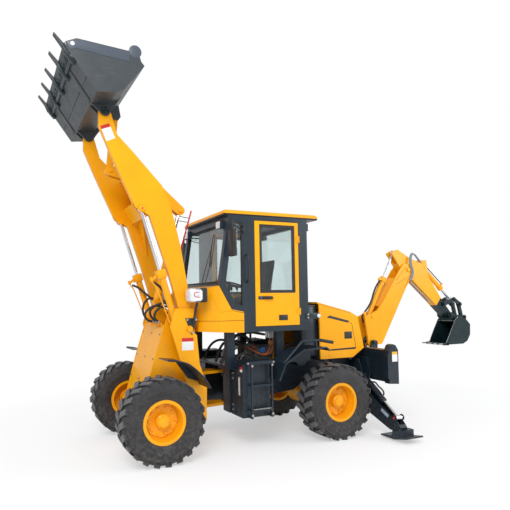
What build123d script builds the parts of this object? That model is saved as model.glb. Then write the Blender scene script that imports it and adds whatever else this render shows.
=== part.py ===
from build123d import *
import os
from math import hypot

# Articulated backhoe loader. X points forward, Y to the machine's left, Z up, all in millimetres.
# The origin is on the ground, under the middle of the machine's length.

os.makedirs("parts", exist_ok=True)

# Main layout
front_axle_x = 2530
wheelbase = 2665
rear_axle_x = front_axle_x - wheelbase
hinge_x = front_axle_x - wheelbase / 2
overall_width = 2138

# Fits and clearances
seat_gap = 0.3        # between parts that are seated on each other
pin_gap = 0.5         # between a pin and its bore, and between a rod and its gland
side_gap = 0.8        # beside an eye in its fork
body_gap = 8          # between parts that move past each other

# Wheels
tyre_radius = 537.5
tyre_width = 410
lug_height = 26
lug_count = 22
rim_radius = 258
flange_radius = 276
rim_width = 330
hub_radius = 88
wheel_y = overall_width / 2 - tyre_width / 2
axle_z = tyre_radius
axle_half = 90
axle_centre_radius = 170
axle_centre_half = 150

# Tower of the front frame
tower_plate = 22
tower_outer_y = 640
tower_inner_y = 440

# Loader arms: pins in the X-Z plane
arm_pivot = (front_axle_x - 475, 1640)
bucket_pin = (front_axle_x + 648, 4478)
lift_base = (front_axle_x - 475, 1210)
lift_eye = (front_axle_x + 163, 3245)
tilt_base = (front_axle_x - 220, 2000)
rocker_pivot = (front_axle_x, 3800)
rocker_low = (front_axle_x + 457, 3859)
rocker_high = (front_axle_x - 580, 3355)
link_top = (front_axle_x + 385, 4655)
arm_y = 575
arm_thickness = 76
arm_slot = 54
pin_radius = 34

# Cylinders
lift_barrel = 46
lift_rod = 25
tilt_barrel = 52
tilt_rod_radius = 26
tilt_eye_half = 54
hoe_barrel = 42
hoe_rod_radius = 22
hoe_eye_half = 44
collar_ratio = 1.22   # collar at a barrel's open end, against the barrel

# Cab
cab_half_width = 780
cab_wall = 60
cab_floor_z = 1576
cab_top_z = 3206
roof_top_z = 3283
cab_rear_x = front_axle_x - 2305
glass_thickness = 6
door_front_x = front_axle_x - 1420
door_rear_x = front_axle_x - 2155
door_bottom_z = 1650
door_top_z = 3150
door_gap = 6
nose_radius = 905

# Hood and chassis
hood_half_width = 620
hood_wall = 25
chassis_half_width = 330
chassis_plate = 30
chassis_top_z = 1110

# Backhoe pins in the X-Z plane
swing_x = front_axle_x - 3880
swing_low_z = 740
swing_high_z = 1175
swing_ear = 50
swing_ear_radius = 85
boom_pin = (front_axle_x - 4080, 1270)
dipper_pin = (front_axle_x - 4950, 2530)
crowd_base = (front_axle_x - 4090, 1700)
crowd_eye = (front_axle_x - 4700, 2830)
boom_base = (front_axle_x - 4030, 860)
boom_eye = (front_axle_x - 4420, 1600)
hoe_pin = (front_axle_x - 5960, 1690)
lever_pin = (front_axle_x - 5830, 1900)
lever_eye = (front_axle_x - 6090, 1985)
lever_end = (front_axle_x - 6240, 1890)
hoe_link_pin = (front_axle_x - 6305, 1645)
hoe_cylinder_base = (front_axle_x - 5400, 2600)
boom_half_width = 110
boom_plate = 36
dipper_half_width = 80
hoe_half_width = 205
hoe_wall = 12

# Stabilisers, in the Y-Z plane
stabiliser_x = front_axle_x - 3430
leg_half_width = 62
leg_plate = 10
leg_pin = (500, 480)
leg_cylinder_base = (600, 810)
leg_rod_eye = (1330, 300)
leg_barrel = 36
leg_rod = 20


def from_axle(*points):
    """X-Z points given from the ground under the front axle."""
    return [(front_axle_x + x, z) for x, z in points]


def span(side, inner, outer):
    """A Y range on one side of the machine, lower value first."""
    return tuple(sorted((side * inner, side * outer)))


def slab(points, y_low, y_high, mode=Mode.ADD):
    """Plate whose outline lies in the X-Z plane."""
    with BuildSketch(Plane.XZ.offset(-y_high)) as outline:
        with BuildLine():
            Polyline(*points, close=True)
        make_face()
    extrude(outline.sketch, amount=y_high - y_low, mode=mode)


def sheet(points, thickness, y_low, y_high, radius=0, side=Side.LEFT):
    """Bent plate that follows a line in the X-Z plane."""
    with BuildSketch(Plane.XZ.offset(-y_high)) as outline:
        with BuildLine():
            if radius:
                FilletPolyline(*points, radius=radius)
            else:
                Polyline(*points)
            offset(amount=thickness, side=side)
        make_face()
    extrude(outline.sketch, amount=y_high - y_low)


def wall(points, x_low, x_high, mode=Mode.ADD):
    """Plate whose outline lies in the Y-Z plane."""
    with BuildSketch(Plane.YZ.offset(x_low)) as outline:
        with BuildLine():
            Polyline(*points, close=True)
        make_face()
    extrude(outline.sketch, amount=x_high - x_low, mode=mode)


def deck(points, z_low, z_high, mode=Mode.ADD):
    """Plate whose outline lies in the X-Y plane."""
    with BuildSketch(Plane.XY.offset(z_low)) as outline:
        with BuildLine():
            Polyline(*points, close=True)
        make_face()
    extrude(outline.sketch, amount=z_high - z_low, mode=mode)


def block(x_low, x_high, y_low, y_high, z_low, z_high, mode=Mode.ADD):
    with BuildSketch(Plane.XY.offset(z_low)) as outline:
        with Locations(((x_low + x_high) / 2, (y_low + y_high) / 2)):
            Rectangle(x_high - x_low, y_high - y_low)
    extrude(outline.sketch, amount=z_high - z_low, mode=mode)


def boss(centre, radius, y_low, y_high, mode=Mode.ADD):
    """Round boss, pin or bore along Y."""
    with BuildSketch(Plane.XZ.offset(-y_high)) as outline:
        with Locations(centre):
            Circle(radius)
    extrude(outline.sketch, amount=y_high - y_low, mode=mode)


def boss_x(centre, radius, x_low, x_high, mode=Mode.ADD):
    """Round boss, pin or bore along X, its centre given as Y, Z."""
    with BuildSketch(Plane.YZ.offset(x_low)) as outline:
        with Locations(centre):
            Circle(radius)
    extrude(outline.sketch, amount=x_high - x_low, mode=mode)


def boss_z(centre, radius, z_low, z_high, mode=Mode.ADD):
    """Round boss, pin or bore along Z."""
    with BuildSketch(Plane.XY.offset(z_low)) as outline:
        with Locations(centre):
            Circle(radius)
    extrude(outline.sketch, amount=z_high - z_low, mode=mode)


def bar(start, end, radius, mode=Mode.ADD):
    """Round bar between two points in space."""
    run = Vector(*end) - Vector(*start)
    with BuildSketch(Plane(origin=start, z_dir=run)) as outline:
        Circle(radius)
    extrude(outline.sketch, amount=run.length, mode=mode)


def along(start, end, distance):
    """The point that lies so far from start towards end."""
    length = hypot(*(e - s for s, e in zip(start, end)))
    return tuple(s + (e - s) * distance / length for s, e in zip(start, end))


def at(point, y):
    """A point of the X-Z plane moved to the given Y."""
    return (point[0], y, point[1])


def beam(start, end, half_start, half_end):
    """Four corners of a tapering bar between two points of a plane."""
    length = hypot(end[0] - start[0], end[1] - start[1])
    nx, nz = -(end[1] - start[1]) / length, (end[0] - start[0]) / length
    return [
        (start[0] + nx * half_start, start[1] + nz * half_start),
        (end[0] + nx * half_end, end[1] + nz * half_end),
        (end[0] - nx * half_end, end[1] - nz * half_end),
        (start[0] - nx * half_start, start[1] - nz * half_start),
    ]


def barrel(base, eye, length, radius, rod_radius, eye_radius, half_eye, pin, axis=Vector(0, 1, 0)):
    """Cylinder barrel with a bored base eye, a collar and an open bore for its rod."""
    centre = Vector(*base)
    collar = radius * collar_ratio
    top = along(base, eye, length)
    bar(tuple(centre - axis * half_eye), tuple(centre + axis * half_eye), eye_radius)
    bar(along(base, eye, eye_radius * 0.7), top, radius)
    bar(along(base, eye, length - radius * 1.6), top, collar)
    bar(along(base, eye, eye_radius + 10), top, rod_radius + pin_gap, mode=Mode.SUBTRACT)
    bar(tuple(centre - axis * radius * 2), tuple(centre + axis * radius * 2), pin + pin_gap, mode=Mode.SUBTRACT)


def piston_rod(base, eye, length, radius, eye_radius, half_eye, axis=Vector(0, 1, 0)):
    """Rod that reaches so far back from its eye."""
    centre = Vector(*eye)
    bar(tuple(centre - axis * half_eye), tuple(centre + axis * half_eye), eye_radius)
    bar(along(eye, base, length), along(eye, base, eye_radius * 0.6), radius)


# Wheels, made once around Z and then placed at the four axle ends
with BuildPart() as tyre_blank:
    half = tyre_width / 2
    with BuildSketch(Plane.XZ) as section:
        with BuildLine():
            Polyline(
                (rim_radius + seat_gap, seat_gap - rim_width / 2 + 18),
                (flange_radius + seat_gap, seat_gap - rim_width / 2 + 14),
                (flange_radius + seat_gap, -rim_width / 2),
                (rim_radius + 30, -half + 22),
                (rim_radius + 130, -half),
                (tyre_radius - 70, -half + 12),
                (tyre_radius - lug_height, -half + 45),
                (tyre_radius - lug_height, half - 45),
                (tyre_radius - 70, half - 12),
                (rim_radius + 130, half),
                (rim_radius + 30, half - 22),
                (flange_radius + seat_gap, rim_width / 2),
                (flange_radius + seat_gap, rim_width / 2 - 14 - seat_gap),
                (rim_radius + seat_gap, rim_width / 2 - 18 - seat_gap),
                close=True,
            )
        make_face()
    revolve(axis=Axis.Z)
    for side in (1, -1):
        with BuildPart(mode=Mode.PRIVATE) as lug:
            with Locations(Location((tyre_radius - lug_height, 0, side * 92), (side * 24, 0, 0))):
                Box(2 * lug_height, 74, 190)
        with PolarLocations(0, lug_count, start_angle=0 if side > 0 else 180 / lug_count):
            add(lug.part)
    with BuildSketch(Plane.XY.offset(-half)) as envelope:
        Circle(tyre_radius)
    extrude(envelope.sketch, amount=tyre_width, mode=Mode.INTERSECT)

with BuildPart() as rim_blank:
    with BuildSketch(Plane.XZ) as section:
        with BuildLine():
            Polyline(
                (0, -120),
                (hub_radius + 40, -120),
                (hub_radius + 40, 0),
                (rim_radius - 45, 0),
                (rim_radius - 22, -rim_width / 2),
                (flange_radius, -rim_width / 2),
                (flange_radius, -rim_width / 2 + 14),
                (rim_radius, -rim_width / 2 + 18),
                (rim_radius, rim_width / 2 - 18),
                (flange_radius, rim_width / 2 - 14),
                (flange_radius, rim_width / 2),
                (rim_radius - 22, rim_width / 2),
                (rim_radius - 45, 22),
                (hub_radius + 10, 22),
                (hub_radius, 30),
                (hub_radius, 96),
                (hub_radius - 14, 108),
                (0, 108),
                close=True,
            )
        make_face()
    revolve(axis=Axis.Z)

wheel_places = {
    "front_left": (front_axle_x, 1),
    "front_right": (front_axle_x, -1),
    "rear_left": (rear_axle_x, 1),
    "rear_right": (rear_axle_x, -1),
}
for corner, (wheel_x, side) in wheel_places.items():
    place = Location((wheel_x, side * wheel_y, axle_z), (-90 * side, 0, 0))
    for kind, blank in (("tyre", tyre_blank), ("rim", rim_blank)):
        with BuildPart() as wheel_piece:
            with Locations(place):
                add(blank.part)
        wheel_piece.part.label = kind + "_" + corner
        export_step(wheel_piece.part, "parts/" + kind + "_" + corner + ".step")

# Axles
for name, axle_x in (("front_axle", front_axle_x), ("rear_axle", rear_axle_x)):
    with BuildPart() as axle:
        reach = wheel_y - 120 - seat_gap
        boss((axle_x, axle_z), 75, -reach, reach)
        for side in (1, -1):
            boss((axle_x, axle_z), 120, *span(side, reach - 90, reach))
            block(axle_x - axle_half, axle_x + axle_half, *span(side, 300, 480),
                  axle_z - axle_half, axle_z + axle_half)
        boss((axle_x, axle_z), axle_centre_radius, -axle_centre_half, axle_centre_half)
    axle.part.label = name
    export_step(axle.part, "parts/" + name + ".step")

# Front frame: four tower plates, sloping front cover, cross members and the articulation ears
saddle_z = axle_z + axle_half + seat_gap
tower_outer = from_axle(
    (-264, 1905), (-204, 1678), (-336, 1246), (-428, 926), (-565, 700), (-600, 413),
    (-712, 413), (-718, 878), (-616, 1179), (-581, 1560), (-545, 1590), (-540, 1905),
)
tower_inner = from_axle(
    (-264, 1905), (-200, 1720), (-150, 1600), (-35, 1226), (127, saddle_z), (-280, saddle_z), (-420, 440),
    (-600, 413), (-712, 413), (-718, 878), (-616, 1179), (-575, 1530), (-530, 1570), (-530, 1905),
)
cover_line = from_axle((-420, 1700), (-205, 1700), (-155, 1600), (-40, 1226), (122, saddle_z))
tower_outer_face = tower_outer_y + tower_plate
with BuildPart() as front_frame:
    sheet(cover_line, 14, -tower_inner_y - 2, tower_inner_y + 2, side=Side.RIGHT)
    for side in (1, -1):
        slab(tower_outer, *span(side, tower_outer_y, tower_outer_face))
        slab(tower_inner, *span(side, tower_inner_y, tower_inner_y + tower_plate))
        # floor and rear web that join the two plates of a side
        block(front_axle_x - 700, front_axle_x - 600, *span(side, tower_inner_y, tower_outer_y + 5), 420, 470)
        block(front_axle_x - 650, front_axle_x - 630, *span(side, tower_inner_y, tower_outer_y + 5), 440, 1000)
        boss(arm_pivot, pin_radius, *span(side, tower_inner_y, tower_outer_face + 14))
        boss(arm_pivot, 50, *span(side, tower_outer_y, tower_outer_face + 6))
        boss(lift_base, 30, *span(side, tower_inner_y, tower_outer_face + 8))
        lug = span(side, tilt_eye_half, tilt_eye_half + 24)
        slab(beam((tilt_base[0] - 60, 1650), tilt_base, 90, 52), *lug)
        boss(tilt_base, 52, *lug)
    boss(tilt_base, 26, -tilt_eye_half - 30, tilt_eye_half + 30)
    # cross members
    block(front_axle_x - 420, front_axle_x - 200, -tower_inner_y - 2, tower_inner_y + 2, 1640, 1700)
    block(front_axle_x - 630, front_axle_x - 590, -tower_inner_y - 2, tower_inner_y + 2, 440, 1000)
    block(front_axle_x - 600, front_axle_x - 420, -tower_inner_y - 2, tower_inner_y + 2, 440, 470)
    # articulation ears, above and below the middle ears of the rear frame
    for z_low in (470, 950):
        deck([(front_axle_x - 600, -210), (front_axle_x - 600, 210), (hinge_x, 95), (hinge_x, -95)],
             z_low, z_low + 40)
        boss_z((hinge_x, 0), 95, z_low, z_low + 40)
    boss_z((hinge_x, 0), 40, 470, 990)
    # room for the middle of the axle
    boss((front_axle_x, axle_z), axle_centre_radius + body_gap, -axle_centre_half - body_gap,
         axle_centre_half + body_gap, mode=Mode.SUBTRACT)
front_frame.part.label = "front_frame"
export_step(front_frame.part, "parts/front_frame.step")

# Front fenders: bent plates behind the front wheels, each on a bracket of the tower
with BuildPart() as front_fenders:
    for side in (1, -1):
        sheet(from_axle((-40, 1290), (-240, 1268), (-400, 1172), (-560, 1010), (-620, 905)), 12,
              *span(side, tower_outer_face + seat_gap, 1040), radius=60)
        slab(from_axle((-240, 1262), (-400, 1168), (-556, 1008), (-600, 940), (-440, 1000)),
             *span(side, tower_outer_face + seat_gap, tower_outer_face + 14))
front_fenders.part.label = "front_fenders"
export_step(front_fenders.part, "parts/front_fenders.step")

# Headlamps on stalks beside the tower
with BuildPart() as headlamps:
    for side in (1, -1):
        plate_y = tower_outer_face + 14 + seat_gap
        slab(from_axle((-415, 1790), (-590, 1790), (-505, 1560)), *span(side, plate_y - 14, plate_y - 4))
        boss((front_axle_x - 475, 1640), 53, *span(side, plate_y - 15, plate_y), mode=Mode.SUBTRACT)
        bar((front_axle_x - 520, side * (plate_y + 8), 1720), (front_axle_x - 560, side * 745, 2020), 16)
        block(front_axle_x - 600, front_axle_x - 500, *span(side, 660, 850), 2010, 2180)
headlamps.part.label = "headlamps"
export_step(headlamps.part, "parts/headlamps.step")

# Loader arms, joined by the cross beam that carries the rocker
arm_side = from_axle(
    (-413, 1640), (-253, 2238), (-166, 2511), (53, 3155), (252, 3260), (446, 3669), (585, 3971),
    (724, 4288), (724, 4478), (572, 4478), (486, 4191), (277, 3988), (13, 3708), (-117, 3574),
    (-211, 3380), (-284, 3130), (-377, 2751), (-469, 2242), (-537, 1640),
)
arm_low_y = arm_y - arm_thickness / 2
arm_high_y = arm_y + arm_thickness / 2
rocker_half = 66
fork_half = 36
with BuildPart() as lift_arms:
    for side in (1, -1):
        slab(arm_side, *span(side, arm_low_y, arm_high_y))
        boss(arm_pivot, 62, *span(side, tower_inner_y + tower_plate + body_gap, tower_outer_y - body_gap))
        boss(bucket_pin, 76, *span(side, arm_low_y, arm_high_y))
        boss(arm_pivot, pin_radius + pin_gap, *span(side, tower_inner_y, tower_outer_y), mode=Mode.SUBTRACT)
        boss(bucket_pin, pin_radius + pin_gap, *span(side, arm_low_y, arm_high_y), mode=Mode.SUBTRACT)
        boss(lift_eye, 128, *span(side, arm_y - arm_slot / 2, arm_y + arm_slot / 2), mode=Mode.SUBTRACT)
        for cheek in (arm_low_y - 10, arm_high_y):
            boss(lift_eye, 52, *span(side, cheek, cheek + 10))
        # brackets of the rocker
        slab(from_axle((-160, 3330), (120, 3440), (95, 3800), (-95, 3800)), *span(side, 74, 98))
        boss(rocker_pivot, 96, *span(side, 74, 98))
    slab(from_axle((135, 3420), (0, 3200), (-172, 3304), (-37, 3524)), -arm_low_y - 5, arm_low_y + 5)
    boss(rocker_pivot, pin_radius, -104, 104)
lift_arms.part.label = "lift_arms"
export_step(lift_arms.part, "parts/lift_arms.step")

# Tilt rocker between its two brackets, forked at both ends
with BuildPart() as tilt_rocker:
    slab(beam(rocker_pivot, rocker_low, 110, 66), -rocker_half, rocker_half)
    slab(beam(rocker_pivot, rocker_high, 110, 66), -rocker_half, rocker_half)
    boss(rocker_pivot, 112, -rocker_half, rocker_half)
    boss(rocker_low, 66, -rocker_half, rocker_half)
    boss(rocker_high, 66, -rocker_half, rocker_half)
    boss(rocker_low, 300, -fork_half, fork_half, mode=Mode.SUBTRACT)
    boss(rocker_high, 560, -fork_half, fork_half, mode=Mode.SUBTRACT)
    boss(rocker_pivot, pin_radius + pin_gap, -rocker_half, rocker_half, mode=Mode.SUBTRACT)
tilt_rocker.part.label = "tilt_rocker"
export_step(tilt_rocker.part, "parts/tilt_rocker.step")

with BuildPart() as tilt_link:
    link_half = fork_half - side_gap
    slab(beam(rocker_low, link_top, 45, 45), -link_half, link_half)
    boss(rocker_low, 58, -link_half, link_half)
    boss(link_top, 52, -link_half, link_half)
    boss(link_top, 26 + pin_gap, -link_half, link_half, mode=Mode.SUBTRACT)
tilt_link.part.label = "tilt_link"
export_step(tilt_link.part, "parts/tilt_link.step")

with BuildPart() as tilt_cylinder:
    barrel(at(tilt_base, 0), at(rocker_high, 0), 800, tilt_barrel, tilt_rod_radius, 50, tilt_eye_half - side_gap, 26)
tilt_cylinder.part.label = "tilt_cylinder"
export_step(tilt_cylinder.part, "parts/tilt_cylinder.step")

with BuildPart() as tilt_rod:
    piston_rod(at(tilt_base, 0), at(rocker_high, 0), 960, tilt_rod_radius, 45, fork_half - side_gap)
tilt_rod.part.label = "tilt_rod"
export_step(tilt_rod.part, "parts/tilt_rod.step")

with BuildPart() as lift_cylinders:
    for side in (1, -1):
        barrel(at(lift_base, side * arm_y), at(lift_eye, side * arm_y), 1290, lift_barrel, lift_rod, 48, 34, 30)
lift_cylinders.part.label = "lift_cylinders"
export_step(lift_cylinders.part, "parts/lift_cylinders.step")

with BuildPart() as lift_rods:
    for side in (1, -1):
        piston_rod(at(lift_base, side * arm_y), at(lift_eye, side * arm_y), 1420, lift_rod, 46,
                   arm_slot / 2 - side_gap)
lift_rods.part.label = "lift_rods"
export_step(lift_rods.part, "parts/lift_rods.step")

# Loader bucket: side plates, bent shell, cutting edge, teeth and hinge ears
bucket_half_width = 1035
bucket_wall = 14
tooth_count = 5
bucket_side = from_axle(
    (1150, 4981), (833, 4545), (589, 4578), (489, 4635), (239, 4966), (281, 5013), (343, 5211),
    (432, 5122), (1069, 5154), (1200, 5090),
)
bucket_shell = from_axle((1180, 5024), (833, 4545), (589, 4578), (489, 4635), (239, 4966))
with BuildPart() as loader_bucket:
    sheet(bucket_shell, bucket_wall, -bucket_half_width + 4, bucket_half_width - 4, side=Side.RIGHT)
    for side in (1, -1):
        slab(bucket_side, *span(side, bucket_half_width - bucket_wall, bucket_half_width))
        boss((front_axle_x + 1118, 5080), 22, *span(side, bucket_half_width - bucket_wall, bucket_half_width),
             mode=Mode.SUBTRACT)
    slab(beam((front_axle_x + 1100, 4915), (front_axle_x + 1215, 5072), 12, 8), -bucket_half_width, bucket_half_width)
    for tooth in range(tooth_count):
        tooth_y = (bucket_half_width - 55) * (2 * tooth / (tooth_count - 1) - 1)
        slab(beam((front_axle_x + 1130, 4950), (front_axle_x + 1330, 5180), 26, 6), tooth_y - 38, tooth_y + 38)
    # ears on both sides of each arm, and the tilt link's pair
    for side in (1, -1):
        for ear_y in (arm_low_y - body_gap - 24, arm_high_y + body_gap):
            slab(from_axle((822, 4548), (705, 4443), (648, 4412), (592, 4443), (400, 4762), (489, 4640), (589, 4580)),
                 *span(side, ear_y, ear_y + 24))
            boss(bucket_pin, 66, *span(side, ear_y, ear_y + 24))
        boss(bucket_pin, pin_radius, *span(side, arm_low_y - body_gap - 24, arm_high_y + body_gap + 30))
        slab(from_axle((484, 4644), (446, 4590), (345, 4592), (308, 4641), (338, 4800), (372, 4795)),
             *span(side, fork_half, fork_half + 24))
        boss(link_top, 56, *span(side, fork_half, fork_half + 24))
    boss(link_top, 26, -fork_half - 24, fork_half + 24)
loader_bucket.part.label = "loader_bucket"
export_step(loader_bucket.part, "parts/loader_bucket.step")

# Rear chassis: separate plates seated on each other, as they are before welding. Two frame plates stand between
# a front wall, decks and a floor, and the middle ears of the articulation stand in front of the wall.
chassis_front_x = front_axle_x - 1500
chassis_rear_x = front_axle_x - 3360
chassis_low_z = 560
cab_rest_front_x = front_axle_x - 1040
cab_posts_x = (front_axle_x - 1100, front_axle_x - 1900)
cab_post_half = 60
outrigger_y = 640
plate_inner = chassis_half_width - chassis_plate
between_plates = plate_inner - seat_gap
beside_plates = chassis_half_width + seat_gap
wall_rear_x = chassis_front_x - chassis_plate
deck_low_z = chassis_top_z - chassis_plate
with BuildPart() as rear_chassis:
    for side in (1, -1):
        slab([(chassis_front_x, chassis_low_z), (chassis_front_x, chassis_top_z), (chassis_rear_x, chassis_top_z),
              (chassis_rear_x, chassis_low_z), (rear_axle_x - 335, 640), (rear_axle_x - 235, 720),
              (rear_axle_x + 225, 720), (rear_axle_x + 365, 640)],
             *span(side, plate_inner, chassis_half_width))
        block(rear_axle_x - 150, rear_axle_x + 150, *span(side, plate_inner, chassis_half_width),
              saddle_z, 730)
        # cab supports on their outriggers
        for post_x in cab_posts_x:
            block(post_x - cab_post_half, post_x + cab_post_half, *span(side, 540, outrigger_y),
                  chassis_top_z + seat_gap, cab_floor_z - seat_gap)
            block(post_x - cab_post_half, post_x + cab_post_half, *span(side, beside_plates, outrigger_y),
                  chassis_top_z - 50, chassis_top_z)
        block(chassis_front_x - 60, cab_rest_front_x, *span(side, 560, outrigger_y),
              chassis_top_z - 50, chassis_top_z)
        # stubs that carry the hood
        for bar_x in (front_axle_x - 2700, front_axle_x - 3180):
            block(bar_x - 25, bar_x + 25, *span(side, beside_plates, hood_half_width), deck_low_z, chassis_top_z)
    block(chassis_rear_x, wall_rear_x - seat_gap, -between_plates, between_plates, deck_low_z, chassis_top_z)
    block(chassis_front_x - 400, wall_rear_x - seat_gap, -between_plates, between_plates,
          chassis_low_z, chassis_low_z + chassis_plate)
    block(wall_rear_x, chassis_front_x, -between_plates, between_plates, chassis_low_z, chassis_top_z)
    block(chassis_front_x + seat_gap, cab_rest_front_x, -chassis_half_width, chassis_half_width,
          deck_low_z, chassis_top_z)
    # ears of the articulation
    for z_low in (470 + 40 + body_gap, 950 - body_gap - 60):
        deck([(chassis_front_x + seat_gap, -250), (chassis_front_x + seat_gap, 250), (hinge_x, 90), (hinge_x, -90)],
             z_low, z_low + 60)
        boss_z((hinge_x, 0), 90, z_low, z_low + 60)
        boss_z((hinge_x, 0), 40 + pin_gap, z_low, z_low + 60, mode=Mode.SUBTRACT)
rear_chassis.part.label = "rear_chassis"
export_step(rear_chassis.part, "parts/rear_chassis.step")

# Tanks beside the chassis, with the boarding ladders in front of the rear wheels
with BuildPart() as side_boxes:
    for side in (1, -1):
        block(front_axle_x - 1500, front_axle_x - 1115, *span(side, chassis_half_width + seat_gap, 545), 450, 1050)
        block(front_axle_x - 1560, front_axle_x - 1142, *span(side, 540, 895), 440, 1050)
        block(front_axle_x - 1560, front_axle_x - 1142, *span(side, 700, 895), 1040, 1165)
        block(front_axle_x - 1590, front_axle_x - 1142, *span(side, 700, 1000), 1160, 1200)
        for rail_x in (-1240, -1550):
            block(front_axle_x + rail_x - 12, front_axle_x + rail_x + 12, *span(side, 890, 985), 440, 470)
            block(front_axle_x + rail_x - 12, front_axle_x + rail_x + 12, *span(side, 960, 985), 440, 1165)
        for step_z in (530, 860):
            block(front_axle_x - 1550, front_axle_x - 1240, *span(side, 890, 985), step_z, step_z + 25)
side_boxes.part.label = "side_boxes"
export_step(side_boxes.part, "parts/side_boxes.step")

# Rear fenders with their hand rails
with BuildPart() as rear_fenders:
    for side in (1, -1):
        sheet(from_axle((-1625, 924), (-1728, 1142), (-2029, 1308), (-2411, 1329), (-2467, 1285)), 12,
              *span(side, 650, 1050), side=Side.RIGHT)
        slab(from_axle((-2040, 1312), (-2405, 1332), (-2405, chassis_top_z), (-2040, chassis_top_z)),
             *span(side, 650, 662))
        block(front_axle_x - 2300, front_axle_x - 2200, *span(side, chassis_half_width + seat_gap, 655),
              chassis_top_z - 60, chassis_top_z)
        slab(from_axle((-2150, chassis_top_z), (-2350, chassis_top_z), (-2300, chassis_top_z - 60),
                       (-2200, chassis_top_z - 60)), *span(side, 650, 662))
        rail = [(-1740, 1146), (-2041, 1433), (-2349, 1437), (-2558, 1398)]
        for (x0, z0), (x1, z1) in zip(rail, rail[1:]):
            bar((front_axle_x + x0, side * 990, z0), (front_axle_x + x1, side * 990, z1), 19)
        block(front_axle_x - 2290, front_axle_x - 2260, *span(side, 975, 1005), 1300, 1437)
rear_fenders.part.label = "rear_fenders"
export_step(rear_fenders.part, "parts/rear_fenders.step")

with BuildPart() as engine_block:
    block(front_axle_x - 3250, front_axle_x - 2680, -230, 230, chassis_top_z + seat_gap, 1640)
engine_block.part.label = "engine_block"
export_step(engine_block.part, "parts/engine_block.step")

# Engine hood: closed at the sides, top and back, open towards the cab and the chassis
hood_foot_z = chassis_top_z + seat_gap
hood_side = from_axle(
    (-2619, hood_foot_z), (-2609, 1979), (-3233, 1821), (-3335, 1751), (-3450, 1249), (-3227, hood_foot_z),
)
hood_inside = from_axle(
    (-2560, 1100), (-2560, 1965), (-2609, 1953), (-3222, 1798), (-3314, 1738), (-3423, 1255), (-3260, 1100),
)
with BuildPart() as hood:
    slab(hood_side, -hood_half_width, hood_half_width)
    top_edges = hood.edges().filter_by(
        lambda e: abs(e.center().Y) > hood_half_width - 1 and e.center().Z > 1800)
    chamfer(top_edges, 55)
    slab(hood_inside, -hood_half_width + hood_wall, hood_half_width - hood_wall, mode=Mode.SUBTRACT)
hood.part.label = "hood"
export_step(hood.part, "parts/hood.step")

# Cab shell: floor, posts and roof rails round the window and door openings
cab_side = from_axle(
    (-2305, 1576), (-1240, 1576), (-1240, 1845), (-1070, 1880), (-870, 2225), (-1018, 3206), (-2305, 3206),
)
cab_inside = from_axle(
    (-2245, 1636), (-1300, 1636), (-1300, 1880), (-1110, 1930), (-935, 2240), (-1078, 3146), (-2245, 3146),
)
with BuildPart() as cab_frame:
    slab(cab_side, -cab_half_width, cab_half_width)
    slab(cab_inside, -cab_half_width + cab_wall, cab_half_width - cab_wall, mode=Mode.SUBTRACT)
    # front and rear window openings
    slab(from_axle((-700, 2252), (-1100, 2252), (-1100, 3100), (-800, 3100)), -700, 700, mode=Mode.SUBTRACT)
    wall([(-640, 2080), (640, 2080), (640, 3100), (-640, 3100)], cab_rear_x - 10, cab_rear_x + cab_wall + 10,
         mode=Mode.SUBTRACT)
    for side in (1, -1):
        walls = span(side, cab_half_width - cab_wall - 10, cab_half_width + 10)
        block(door_rear_x, door_front_x, *walls, door_bottom_z, door_top_z, mode=Mode.SUBTRACT)
        slab(from_axle((-1225, 1935), (-1115, 1955), (-955, 2240), (-1080, 3110), (-1225, 3110)), *walls,
             mode=Mode.SUBTRACT)
        # work lamps under the roof, front and rear
        block(front_axle_x - 1005, front_axle_x - 935, *span(side, 560, 680), 3020, 3130)
        block(front_axle_x - 1060, front_axle_x - 970, *span(side, 600, 640), 3110, 3150)
        block(front_axle_x - 2400, front_axle_x - 2330, *span(side, 560, 680), 3050, 3160)
        block(front_axle_x - 2380, front_axle_x - 2290, *span(side, 600, 640), 3140, 3180)
cab_frame.part.label = "cab_frame"
export_step(cab_frame.part, "parts/cab_frame.step")

with BuildPart() as cab_roof:
    block(front_axle_x - 2510, front_axle_x - 962, -765, 765, cab_top_z + seat_gap, roof_top_z)
    chamfer(cab_roof.faces().sort_by(Axis.Z)[-1].edges(), 25)
    boss_z((front_axle_x - 1650, -450), 45, roof_top_z - 5, roof_top_z + 105)
cab_roof.part.label = "cab_roof"
export_step(cab_roof.part, "parts/cab_roof.step")

# Nose below the windscreen, rounded so that the front frame can swing past
cowl_rear_x = -1240 + seat_gap
with BuildPart() as cab_cowl:
    slab(from_axle((cowl_rear_x, 1576), (-633, 1600), (-640, 2120), (-720, 2190), (-862, 2225),
                   (-1062, 1880), (cowl_rear_x, 1843)), -cab_half_width, cab_half_width)
    with BuildSketch(Plane.XY.offset(1500)) as swept:
        with Locations((hinge_x, 0)):
            Circle(nose_radius)
    extrude(swept.sketch, amount=900, mode=Mode.INTERSECT)
    with BuildPart(mode=Mode.PRIVATE) as hollow:
        slab(from_axle((-1300, 1540), (-673, 1540), (-680, 2100), (-740, 2160), (-850, 2180),
                       (-1040, 1850), (-1300, 1810)), -cab_half_width + 40, cab_half_width - 40)
        with BuildSketch(Plane.XY.offset(1500)) as swept_inside:
            with Locations((hinge_x, 0)):
                Circle(nose_radius - 35)
        extrude(swept_inside.sketch, amount=900, mode=Mode.INTERSECT)
    add(hollow.part, mode=Mode.SUBTRACT)
cab_cowl.part.label = "cab_cowl"
export_step(cab_cowl.part, "parts/cab_cowl.step")

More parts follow.
